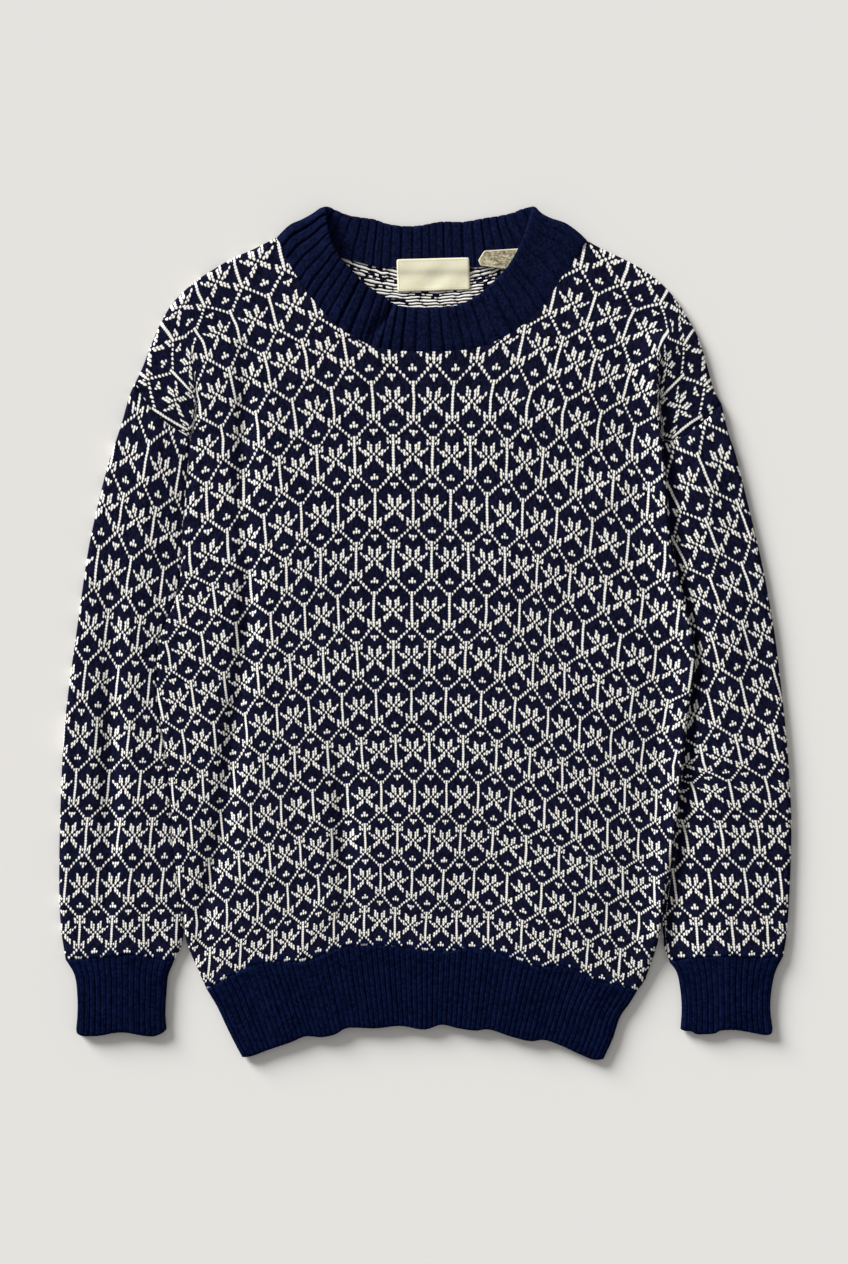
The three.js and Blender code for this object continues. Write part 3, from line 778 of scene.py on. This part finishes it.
plan = panel_plan(front_neckline, 180, 205)
x, y = plan[..., 0], plan[..., 1]
to_fold = distance_to(side_folds, plan)
to_left, to_right = (distance_to([line], plan) for line in side_folds[:2])
crease = np.array(caps[1]["crease"], float)
to_proud = distance_to([side_folds[1], crease[:4]], plan)
above_hem = smooth_step((y - PROUD_END) / PROUD_FADE)
crest = TOP_HEIGHT + loft(to_fold) + crease_rise(plan, creases) + handled(plan)
crest = crest - seam_dip(plan, armhole_seams)
crest = crest + PROUD_RISE * above_hem * np.exp(-((to_proud / PROUD_HALF) ** 2))
beside_sleeve = np.clip((y - LEFT_END) / LEFT_FADE, 0, 1)
low = FOLD_HEIGHT + LEFT_LIFT * beside_sleeve * np.clip(1 - to_left / LEFT_REACH, 0, 1)
narrow = (to_right < PROUD_SIDE) * above_hem
bend = rounded(to_fold, FOLD_ROUND + (PROUD_ROUND - FOLD_ROUND) * narrow)
height = low + (crest - low) * bend
beyond = x - np.interp(y, crease[:, 1], crease[:, 0])
sunk = (beyond > 0) * (y > crease[0, 1] - 4) * (1 - smooth_step(beyond / VALLEY_REACH))
sunk = sunk * smooth_step((VALLEY_TOP - y) / VALLEY_FADE)
height = height - sunk * np.maximum(height - VALLEY_FLOOR, 0)
front_panel = cloth(
    "front_panel_cloth",
    np.dstack([plan, height]),
    body_counts(plan),
    [jacquard, reverse],
    wall=KNIT_WALL,
    marks={"from_join": distance_to([join_line], plan)},
)
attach(front_panel, "root")
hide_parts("front_panel")

SAG_CURVE = 0.00124  # courses for each square millimetre beside the middle
SAG_REACH = 60.0  # how far below the neckline the courses still sag
SAG_MIDDLE = (5, 311)  # x of the lowest point, and y of the neckline there
SAG_HALF = 90  # how far beside the middle the curve goes on
plan = panel_plan(back_neckline, 96, 130)
below_neck = np.clip((plan[..., 1] - SAG_MIDDLE[1] + SAG_REACH) / SAG_REACH, 0, 1.2)
sag = SAG_CURVE * np.minimum(abs(plan[..., 0] - SAG_MIDDLE[0]), SAG_HALF) ** 2 * below_neck
counts = body_counts(plan)
counts[..., 1] += sag
height = FOLD_HEIGHT * (1 - rounded(distance_to(side_folds, plan), FOLD_ROUND))
back_panel = cloth(
    "back_panel_cloth",
    np.dstack([plan, height]),
    counts,
    [jacquard, reverse],
    flip=True,
    wall=KNIT_WALL,
    marks={"from_join": distance_to([join_line], plan)},
)
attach(back_panel, "root")
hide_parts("back_panel")

# --- Sleeves ---------------------------------------------------------------------------------
# Each sleeve is one piece of the same jacquard, sewn to a tube along the underarm and pressed
# flat by its own weight. Its inner fold lies against the side of the body.
SLEEVE_WALL = 2.5
SLEEVE_WIDTH = 100.0
TUBE_ROUND = 5.0  # reach of the rounding on the outside; beside the body it is the valley
SEAM_GAP = 0.3
SLEEVE_COLUMNS = 56
SLEEVE_ROWS = 210
CUFF_START = 0.88  # share of the length where the inner fold starts to level out
CUFF_SPAN = 0.1  # share of the length over which it does

# Each "lie" gives how the repeats lie, in the columns row, x and y on the middle column, width of
# a repeat, and slope. The "valley" is how far from the inner fold, whose height is "fold", the
# sleeve has risen to its crest.
sleeves = {
    "left": {
        "armhole": left_armhole,
        "outer": [
            (-247, 212.5), (-251, 204), (-258.5, 178), (-269.5, 144.5), (-277, 116), (-286.5, 72),
            (-293, 28), (-298, -8), (-303.5, -48), (-307, -80), (-310, -134), (-311.5, -218),
            (-310, -251), (-306, -278),
        ],
        "inner": left_side[:2:-1] + [(-205, -250), (-207, -266), (-214, -280)],
        "join": [(-214, -280), (-232, -276), (-250, -273), (-269, -275), (-306, -278)],
        "lie": np.array([
            (-1, -228, 199, 27.6, -0.5),
            (0, -237.6, 144.5, 27.6, -0.48),
            (1, -244.8, 97, 27.6, -0.42),
            (2, -252, 48.5, 27.6, -0.28),
            (3, -257.1, 1, 27.6, -0.14),
            (4, -262.2, -43, 27.6, -0.13),
            (5, -266, -89.3, 27.6, -0.08),
            (6, -269.9, -130.8, 27.6, 0),
            (7, -274.4, -171.4, 27.6, 0),
            (8, -278.8, -215, 27.6, 0),
            (9.6, -281, -277, 27.6, 0.03),
        ]),
        "outward": -1,
        "valley": 9.0,
        "fold": FOLD_HEIGHT + LEFT_LIFT,
    },
    "right": {
        "armhole": right_armhole,
        "outer": [
            (252.5, 195), (259, 168), (263.5, 155.5), (274, 114), (285.5, 66), (293, 28), (297.5, 1),
            (303.5, -48), (308, -91), (311, -134), (312, -160), (311, -207), (308, -256), (305, -275),
        ],
        "inner": right_side[:2:-1] + [(202, -250), (203, -265), (208, -280)],
        "join": [(208, -280), (230, -276), (255, -274), (280, -276), (305, -275)],
        "lie": np.array([
            (-1, 190.8, 164.4, 27.2, 0.75),
            (0, 210.8, 117, 27.2, 0.7),
            (1, 230.8, 75.5, 27.2, 0.5),
            (2, 246.9, 34.9, 27.2, 0.38),
            (3, 260.1, -10.2, 27.2, 0.35),
            (4, 271.2, -52.7, 28.0, 0.4),
            (5, 282.2, -97.5, 30.6, 0.24),
            (6, 291.6, -134.4, 31.5, 0),
            (7, 298.4, -172.6, 30.6, 0),
            (8, 302.6, -214.5, 29.8, 0.02),
            (9.6, 308, -278, 29.8, 0.03),
        ]),
        "outward": 1,
        "valley": VALLEY_REACH,
        "fold": VALLEY_FLOOR,
    },
}


def sleeve_counts(plan, lie):
    """Stitch and course at each point of a sleeve: u = (x - middle(v)) / width(v) and
    y = height(v) + slope(v) * (x - middle(v)), by repeated substitution. Above the first row its
    pitch goes on."""
    x, y = plan[..., 0], plan[..., 1]
    row, middle, height, width, slope = lie.T
    top_pitch = (height[0] - height[1]) / (row[1] - row[0])
    v = np.interp(-y, -height, row)
    for _ in range(14):
        off = x - np.interp(v, row, middle)
        level = y - np.interp(v, row, slope) * off
        v = np.interp(-level, -height, row) - np.clip(level - height[0], 0, None) / top_pitch
    u = (x - np.interp(v, row, middle)) / np.interp(v, row, width)
    return stitch_counts(u + 0.5, v)


def flattened(plan, top, under):
    """A ring of points across each row: over the top from fold to fold, and back underneath."""
    over = np.dstack([plan, top])
    below = np.dstack([plan, under])[:, -2:0:-1]
    return np.hstack([over, below])


for side, cut in sleeves.items():
    outward = cut["outward"]
    inner, outer, armhole, join = (smooth_path(cut[key]) for key in ("inner", "outer", "armhole", "join"))
    s = fold_shares(SLEEVE_WIDTH, SLEEVE_COLUMNS, TUBE_ROUND)
    t = np.linspace(0, 1, SLEEVE_ROWS)
    gap = np.array([outward * SEAM_GAP, 0])
    seam, fold_in = (lambda s: armhole(s) + gap), (lambda t: inner(t) + gap)
    plan = patch(seam, join, fold_in, outer, hold=2, s=s, t=t)
    to_inner, to_outer = s[None, :] * SLEEVE_WIDTH, (1 - s[None, :]) * SLEEVE_WIDTH
    by_cuff = np.clip((t - CUFF_START) / CUFF_SPAN, 0, 1)[:, None]
    fold = cut["fold"] * (1 - by_cuff) + FOLD_HEIGHT * by_cuff
    fold = fold + (FOLD_HEIGHT - fold) * s[None, :]
    # A narrow valley is round. A wide one starts level and then rises as a smooth step.
    rise = smooth_step(to_inner / cut["valley"]) if outward > 0 else rounded(to_inner, cut["valley"])
    shape = rise * rounded(to_outer, TUBE_ROUND)
    crest = TOP_HEIGHT + loft(np.minimum(to_inner, to_outer)) + crease_rise(plan, creases) + handled(plan)
    crest = crest - seam_dip(plan, armhole_seams)
    top = fold + (crest - fold) * shape
    under = np.minimum(fold, FOLD_HEIGHT) * (1 - rounded(np.minimum(to_inner, to_outer), FOLD_ROUND))
    counts = sleeve_counts(plan, cut["lie"])
    counts = np.hstack([counts, counts[:, -2::-1]])
    to_cuff = distance_to([chain(cut["join"], 30)], plan)
    sleeve = cloth(
        "sleeve_" + side + "_cloth",
        flattened(plan, top, under),
        counts,
        [jacquard, reverse],
        ring=True,
        flip=outward > 0,
        wall=SLEEVE_WALL,
        marks={"from_join": np.hstack([to_cuff, to_cuff[:, -2:0:-1]])},
    )
    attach(sleeve, "root")
    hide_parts("sleeve_" + side)

# --- Hem rib and cuffs -----------------------------------------------------------------------
# Navy rib, knitted on below the jacquard: columns of stitches stand up in ridges with a furrow
# between them. The hem is one piece on each panel, and each cuff is sewn to a tube.
RIB_WALL = 2.4
HEM_RIBS = 76
CUFF_RIBS = 17  # on each face
STEPS_IN_RIB = 7
RIB_DEPTH = 0.9  # from ridge to furrow
RIB_LENGTH = 60
RIDGE_START = 0.2  # the ridges grow out of the even cloth above them, from this share
RIDGE_GROWTH = 8
SPRING_LOSS = 0.4  # share of the loft that is gone at the edge
EDGE_REACH = 2.0
EDGE_DROP = 1.2
RIB_COURSES = 36
CUFF_WIDTH = 80.0
hem_left = [(-186, -303), (-177, -318), (-169, -335), (-161, -351), (-155.6, -361)]
hem_right = [(181, -304), (175, -314), (166, -327), (160, -345), (152, -362.5)]
hem_edge = [
    (-155.6, -361), (-148, -360), (-133, -354.5), (-114, -348), (-102, -343), (-87, -343.5),
    (-76, -341), (-67, -336), (-42, -336), (-21, -334), (0, -337), (14, -333), (28, -336),
    (43, -338), (54, -337), (73, -343), (90, -347), (101, -346), (116, -351), (131, -358),
    (144, -363), (152, -362.5),
]
cuffs = {
    "left": {
        "outer": [(-306, -278), (-298.5, -291), (-296, -310), (-296, -325), (-297, -337)],
        "inner": [(-214, -280), (-218.5, -291), (-220, -305), (-221, -325), (-220, -337)],
        "edge": [
            (-219.5, -337), (-222, -339.6), (-230, -343), (-238, -342.8), (-246.5, -341.2),
            (-255, -339.8), (-264.6, -340.1), (-275, -342.2), (-285, -343), (-292.5, -342.6),
            (-296.4, -340.7), (-297.7, -337),
        ],
    },
    "right": {
        "outer": [(305, -275), (298.5, -288), (295, -304), (294, -320), (296, -337)],
        "inner": [(208, -280), (214, -288), (217, -301), (218.5, -319), (217.5, -337)],
        "edge": [
            (217.5, -337), (220.5, -338.4), (226.6, -338.9), (230.5, -341.1), (238.4, -341.3),
            (246.6, -340.5), (251, -338.3), (263.9, -337.7), (275.7, -339.5), (290, -342),
            (294.4, -341), (296, -337),
        ],
    },
}

# A darker navy, painted into the furrows as shade
FURROW_SHADE_NAVY = (0.0003, 0.0014, 0.0100)
RIB_YARN_DEPTH = 0.0004


def rib_finish(name, navy, columns, furrow=None):
    """Navy rib. Each ridge is some columns of stitches, with a little painted shade between two of them.
    Painted shade darkens the yarn in the furrow, which takes that share of a rib's width on each side,
    in some furrows more than in others. With no furrow given, the piece's mark "furrow" says how dark the
    painted shade is."""
    finish, tree = new_finish(name, roughness=0.95, specular=0.0, sheen=0.0)
    rib, course = counted(tree)
    rib = rib + (grain(tree, 45) - 0.5) * 0.3
    beside = abs(fract(rib * columns) - 0.5) * 2
    fibre = grain(tree, 1300, detail=3.0)
    patchy = grain(tree, 35, detail=3.0)
    uneven = speckle(floor(rib * columns), floor(course))
    # Painted shade in the furrows: the yarn is blended towards the furrow's darker navy, more strongly in
    # some furrows than in others
    if furrow is None:
        deep = least(marked(tree, "furrow") * 1.2, 1)
    else:
        furrow_shade_strength = 0.1 + speckle(calc("ROUND", rib)) * 1.1
        deep = held((abs(fract(rib) - 0.5) - (0.5 - furrow)) / furrow)
        deep = least(deep * furrow_shade_strength, 1)
    tone = fibre * 0.9 + (patchy * 0.3 + uneven * 0.6) - 0.2
    # Painted shade between the columns of stitches
    shade = 1 - beside**3 * 0.4
    tone = shade * most(tone * 1.5, 0.04)
    face(tree, scaled(blend(deep, navy, FURROW_SHADE_NAVY), tone), shade + fibre * 0.5, RIB_YARN_DEPTH)
    return finish


rib_navy = rib_finish("rib_navy", RIB_NAVY, columns=2, furrow=0.2)


def ridges(count):
    """Profile across a rib, 0 in the furrow at a whole count and 1 on top: the root of a sine."""
    return np.sqrt(abs(np.sin(np.pi * count)))


def rib_rows(count):
    """Shares of the way from the join to the edge, closer together near the edge."""
    return np.append(np.linspace(0, 0.96, count), [0.975, 0.99, 1])


def rib_faces(plan, to_fold, top_round, ridge, t, folds=0):
    """Heights of the upper and the under face. The upper one is the crest, with its loft, its
    ridges and its folds, which comes down to the side folds and rolls down at the edge by
    EDGE_DROP * (share of the last EDGE_REACH) ** 2. Underneath, ridges stand on the table."""
    t = t[:, None]
    begun = np.clip(RIDGE_START + t * RIDGE_GROWTH, 0, 1)
    drop = EDGE_DROP * np.clip(1 - (1 - t) * RIB_LENGTH / EDGE_REACH, 0, 1) ** 2
    spring = loft(to_fold) * (1 - SPRING_LOSS * t)
    crest = TOP_HEIGHT + spring + handled(plan) + folds + ridge * begun - drop
    top = FOLD_HEIGHT + (crest - FOLD_HEIGHT) * rounded(to_fold, top_round)
    bend = rounded(to_fold, FOLD_ROUND)
    return top, np.broadcast_to(FOLD_HEIGHT * (1 - bend) - ridge * bend, top.shape)


hem_folds = [chain(table, 31) for table in (hem_left, hem_right)]
s = np.linspace(0, 1, HEM_RIBS * STEPS_IN_RIB + 1)
t = rib_rows(20)
plan = patch(
    path_by_width(hem_join),
    path_by_width(hem_edge),
    smooth_path(hem_left),
    smooth_path(hem_right),
    hold=8, s=s, t=t,
)
counts = np.stack(np.broadcast_arrays(s[None, :] * HEM_RIBS, t[:, None] * RIB_COURSES), -1)
ridge = RIB_DEPTH * (ridges(counts[..., 0]) - 1)
to_fold = distance_to(hem_folds, plan)
top, under = rib_faces(plan, to_fold, FOLD_ROUND, ridge, t, folds=crease_rise(plan, creases))
for node, height, below in (
    ("hem_rib_front", top, ["hem_rib_back_cloth"]),
    ("hem_rib_back", under, []),
):
    hem = cloth(
        node + "_cloth",
        np.dstack([plan, height]),
        counts,
        [rib_navy],
        flip=height is top,
        wall=RIB_WALL,
    )
    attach(hem, "root")
    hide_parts(node)

for side, cut in cuffs.items():
    s = fold_shares(CUFF_WIDTH, CUFF_RIBS * STEPS_IN_RIB, TUBE_ROUND)
    t = rib_rows(22)
    plan = patch(
        smooth_path(sleeves[side]["join"]),
        smooth_path(cut["edge"]),
        smooth_path(cut["inner"]),
        smooth_path(cut["outer"]),
        hold=3, s=s, t=t,
    )
    to_edge = np.minimum(s, 1 - s)[None, :] * CUFF_WIDTH
    ridge = RIB_DEPTH * (ridges(s * CUFF_RIBS)[None, :] - 1)
    top, under = rib_faces(plan, to_edge, TUBE_ROUND, ridge, t)
    ribs = np.concatenate([s, 2 - s[-2::-1]]) * CUFF_RIBS
    counts = np.stack(np.broadcast_arrays(ribs[None, :], t[:, None] * RIB_COURSES), -1)
    cuff = cloth(
        "cuff_" + side + "_cloth",
        flattened(plan, top, under),
        counts,
        [rib_navy],
        ring=True,
        flip=side == "right",
        wall=RIB_WALL,
    )
    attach(cuff, "root")
    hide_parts("cuff_" + side)

# --- Neckband --------------------------------------------------------------------------------
# One strip of wide navy rib, folded double and sewn round the neck. It is one ring: its front
# half shows the outside, its back half the inside, and it folds over at both shoulders.
BAND_HALF = 2.3  # half the thickness of the doubled rib
BAND_DEPTH = 36.0
FRONT_RIBS = 34
BACK_RIBS = 24
RIB_STEPS = 14  # columns for each rib
FURROW_DEPTH = 2.0
FURROW_WIDTH = 0.12  # share of a rib
NOTCH = 0.022  # how far the edge is drawn in at the deepest furrow, as a share of its depth
EDGE_TURN = 0.02  # share of the depth near the edge where it is drawn in
SEAM_SINK = (1.0, 3.0)  # how far the front half sinks in at its seam, and over what length
BAND_UNDER = 5.4  # underside of the front half
BAND_COURSES = 22
BAND_LENGTH = 420.0
SPREAD = 43.0  # how much wider than its edge the seam of the back half is, at each end
band_fold_left = [
    (-126, 337), (-115, 347.5), (-104.5, 352.3), (-95.5, 357.3), (-89, 361.8), (-84, 363.3),
]
band_fold_right = [
    (138, 334), (132, 340), (119.5, 349), (106.5, 353.5), (99, 357.5), (94, 362.5), (91, 363.3),
]
band_front_edge = [
    (-84, 363.3), (-83, 351), (-81.2, 339.5), (-78.2, 330), (-72, 319.5), (-61.5, 308), (-52.5, 298.5),
    (-41, 289.8), (-30.5, 283), (-22, 278.6), (-10, 276.6), (4.5, 276.3), (28, 279), (46.5, 288.7),
    (59.5, 300), (71, 313), (79, 326.7), (84.5, 339.5), (88, 351), (91, 363.3),
]
band_back_edge = [
    (-84, 363.3), (-80.8, 362.7), (-76.4, 360.6), (-65, 356), (-53, 354), (-43, 352.5), (-33, 349),
    (-17.5, 346.8), (-4.7, 347.3), (13.5, 350.5), (32.4, 350.5), (51.6, 353.8), (63, 355.5),
    (76, 358.6), (82, 361.2), (91, 363.3),
]
# Two creases where the front half is pushed together, as x1, y1, x2, y2, half width, rise
band_creases = [(-21, 292, -45, 248, 3.0, -4.2), (-37, 276, -52, 242, 2.6, -2.6)]
# How far the inner edge of the front half stands up: share of its length, half width, rise
band_stands = [(0.15, 0.15, 7.5), (0.87, 0.11, 3.0)]

BAND_NAVY = (0.0054, 0.0084, 0.0310)
band_navy = rib_finish("band_navy", BAND_NAVY, columns=6)
band_folds = [chain(table, 31) for table in (band_fold_left, band_fold_right)]
chance = np.random.default_rng(5)


def back_seam(s):
    """Seam of the back half. It lies straight below the edge, but for its ends, where x spreads
    out by SPREAD * (1 - s) ** 8."""
    edge = smooth_path(band_back_edge)(s)
    x = edge[:, 0] - SPREAD * (1 - s) ** 8 + (SPREAD + 4) * s**8
    seam = chain(back_neckline, 400)
    return np.stack([x, np.interp(x, seam[:, 0], seam[:, 1])], -1)


def furrows(share, ribs, strength):
    """Rib count at each share of a length, and how deep each place is, from 0 on a rib to 1 in
    the deepest furrow: depth of the furrow * exp(-(ribs from it / width) ** 2). Ribs differ a
    little in width, by a slow sine, and furrows in depth, by chance."""
    count = ribs * share + 0.28 * np.sin(share * ribs * 0.9 + 1) * np.sin(np.pi * share)
    depth = chance.uniform(0.45, 1, ribs + 1)[np.clip(np.round(count), 0, ribs).astype(int)]
    return count, strength * depth * np.exp(-(((count - np.round(count)) / FURROW_WIDTH) ** 2))


# Rows run from the seam to the edge on the outside, over it, and back to the seam inside
turn = np.linspace(0, np.pi, 9)[1:-1]
layer = np.linspace(0, 1 - BAND_HALF / BAND_DEPTH, 16)
band_down = np.concatenate([layer, 1 - BAND_HALF / BAND_DEPTH * (1 - np.sin(turn)), layer[::-1]])
band_side = np.concatenate([np.ones(len(layer)), np.cos(turn), -np.ones(len(layer))])
tuck = np.clip(-band_side, 0, 1) * BAND_HALF * 2 / BAND_LENGTH

halves = []
# The front half's furrows are deepest on its left and fade to its right
for start, edge, ribs, faces_up in (
    (smooth_path(front_neckline), smooth_path(band_front_edge), FRONT_RIBS, 1),
    (back_seam, smooth_path(band_back_edge), BACK_RIBS, -1),
):
    share = np.linspace(0, 1, ribs * RIB_STEPS + 1)
    strength = 0.4 + 0.6 * np.clip(1.3 - 1.5 * share, 0, 1) if faces_up > 0 else 0.65 + 0 * share
    count, depth = furrows(share, ribs, strength)
    notch = NOTCH * depth[None, :] * (band_down > layer[-1] - EDGE_TURN)[:, None]
    lie = functools.partial(
        patch, start, edge, smooth_path(band_fold_left), smooth_path(band_fold_right), 6
    )
    plan = np.stack([
        lie(inset + (1 - 2 * inset) * share, np.array([down]))[0]
        for down, inset in zip(band_down, tuck)
    ])
    inward = lie(share, np.array([0.0, 1.0]))
    plan = plan - notch[..., None] * (inward[1] - inward[0])[None]
    middle = BAND_HALF + 0 * plan[..., 0]
    if faces_up > 0:
        middle = BAND_UNDER + BAND_HALF + 0.5 * handled(plan) + crease_rise(plan, band_creases)
        for place, half_width, rise in band_stands:
            stand = rise * np.exp(-(((share - place) / half_width) ** 2))
            middle = middle + stand * band_down[:, None] ** 2
        sink, reach = SEAM_SINK
        middle = middle - sink * np.exp(-((band_down[:, None] * BAND_DEPTH / reach) ** 2))
    z = middle + faces_up * band_side[:, None] * (BAND_HALF - FURROW_DEPTH * depth)
    fold_z = BAND_UNDER / 2 + BAND_HALF
    z = fold_z + (z - fold_z) * rounded(distance_to(band_folds, plan), FOLD_ROUND)
    halves.append((np.dstack([plan, z]), count, np.broadcast_to(depth[None, :], z.shape)))

(front_points, front_count, front_depth), (back_points, back_count, back_depth) = halves
points = np.hstack([front_points, back_points[:, -2:0:-1]])
ribs = np.concatenate([front_count, FRONT_RIBS + BACK_RIBS - back_count[-2::-1]])
over_edge = layer[-1] + np.arange(1, len(turn) + 1) * EDGE_TURN
courses = np.concatenate([layer, over_edge, 2 - layer[::-1]]) * BAND_COURSES
counts = np.stack(np.broadcast_arrays(ribs[None, :], courses[:, None]), -1)
depth = np.hstack([front_depth, back_depth[:, -2:0:-1]])
# The mark "furrow" is each place's furrow depth, and the band's finish paints shade in the furrows by it
neckband = cloth("neckband_ring", points, counts, [band_navy], ring=True, marks={"furrow": depth})
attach(neckband, "root")
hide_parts("neckband_front", "neckband_back")

# --- Labels ----------------------------------------------------------------------------------
# A woven cream label, sewn along its top to the seam of the neckband, and beside it a folded
# tape with its end tucked under the band. Both are blank.
LABEL_SIZE = (62.0, 26.6)
LABEL_CORNERS = [(-23.4, 290.5), (38.3, 292.5), (37.5, 319.6), (-24.2, 318)]
LABEL_LIGHT = (1.0, 0.98, 0.78)
LABEL_SHADE = (0.88, 0.81, 0.55)
SEWN_IN = 1.8  # from the label's edge to the row of stitches
SEWN_HALF = 0.35  # half the width of that row
TAPE_SIZE = (38.0, 15.0)
TAPE_CORNERS = [(49.0, 312.6), (80, 308.5), (88, 327.8), (50.4, 325.3)]
TAPE_LIGHT = (0.70, 0.64, 0.44)
TAPE_DARK = (0.20, 0.17, 0.11)
TAPE_SELVEDGE = 1.0
TAPE_BULGE = 4.2
TAB_WALL = 0.6

label_cream, tree = new_finish("label_cream", roughness=0.7, specular=0.02, sheen=0.1)
across, down = counted(tree)
weave = sine(across * 4.2) * sine(down * 7.5)
worn = grain(tree, 60, detail=4.0)
# A darker row of stitches runs all round, inside the selvedge
to_side = LABEL_SIZE[0] / 2 - abs(across - LABEL_SIZE[0] / 2)
to_end = LABEL_SIZE[1] / 2 - abs(down - LABEL_SIZE[1] / 2)
sewn = abs(least(to_side, to_end) - SEWN_IN) < SEWN_HALF
woven = scaled(blend(worn, LABEL_SHADE, LABEL_LIGHT), 0.94 + weave * 0.05 - sewn * 0.16)
face(tree, woven, weave * 0.3 + worn * 2, 0.0003)

label_grey, tree = new_finish("label_grey", roughness=0.7, specular=0.02, sheen=0.1)
across, down = counted(tree)
worn = grain(tree, 160, detail=4.0)
# Mottled, and more so along it, with a plain selvedge
streak = sine(down * 2.6 + worn * 26) * 0.25 + (grain(tree, 380, detail=3.0) - 0.5) * 2.4
to_side = TAPE_SIZE[1] / 2 - abs(down - TAPE_SIZE[1] / 2)
plain = least(to_side, across) < TAPE_SELVEDGE
streak = held((streak + worn + 0.1) * (1 - plain))
face(tree, blend(streak, TAPE_LIGHT, TAPE_DARK), worn, 0.0005)


def tab(name, node, size, corners, heights, finish, bulge=0.0):
    """A small woven tab between four corners, as a grid whose counts are millimetres of it.
    heights(plan, u, v) gives its upper face. Its left end bulges to a blunt point."""
    u, v = np.meshgrid(np.linspace(0, 1, 40), np.linspace(0, 1, 24))
    a, b, c, d = (np.array(point, float) for point in corners)
    # The corners are a little rounded: both shares are drawn in where both are at an end
    round_off = 0.008 * abs(2 * u - 1) ** 16 * abs(2 * v - 1) ** 16
    su, sv = u + (0.5 - u) * 2 * round_off, v + (0.5 - v) * 3 * round_off
    plan = (a * (1 - su[..., None]) + b * su[..., None]) * (1 - sv[..., None])
    plan = plan + (d * (1 - su[..., None]) + c * su[..., None]) * sv[..., None]
    plan[..., 0] -= bulge * (1 - u) * (1 - abs(2 * v - 0.7) / 1.3)
    counts = np.dstack([u * size[0], (1 - v) * size[1]])
    piece = cloth(name, np.dstack([plan, heights(plan, u, v)]), counts, [finish], wall=TAB_WALL)
    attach(piece, "root")
    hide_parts(node)


def label_height(plan, u, v):
    """On the panel at the bottom, up on the band at the top, with soft slanting wrinkles."""
    step = 1 / (1 + np.exp((307 - plan[..., 1]) / 1.6))
    wrinkles = np.sin(5 * u + 3 * v) + 0.8 * np.sin(11 * u - 6 * v + 1)
    return 4.0 + 1.9 * step + 0.55 * wrinkles * np.sin(np.pi * u) * (1 - 0.6 * v)


def tape_height(plan, u, v):
    """Flat at its sewn end, which lies under the front half of the neckband, and a little curled."""
    return 5.6 + (0.9 * np.sin(6 * u + 2 * v) * (1 - v) + 0.8 * (1 - u) ** 2) * (1 - u**3)


tab("neck_label_tab", "neck_label", LABEL_SIZE, LABEL_CORNERS, label_height, label_cream)
tab("care_label_tab", "care_label", TAPE_SIZE, TAPE_CORNERS, tape_height, label_grey, TAPE_BULGE)
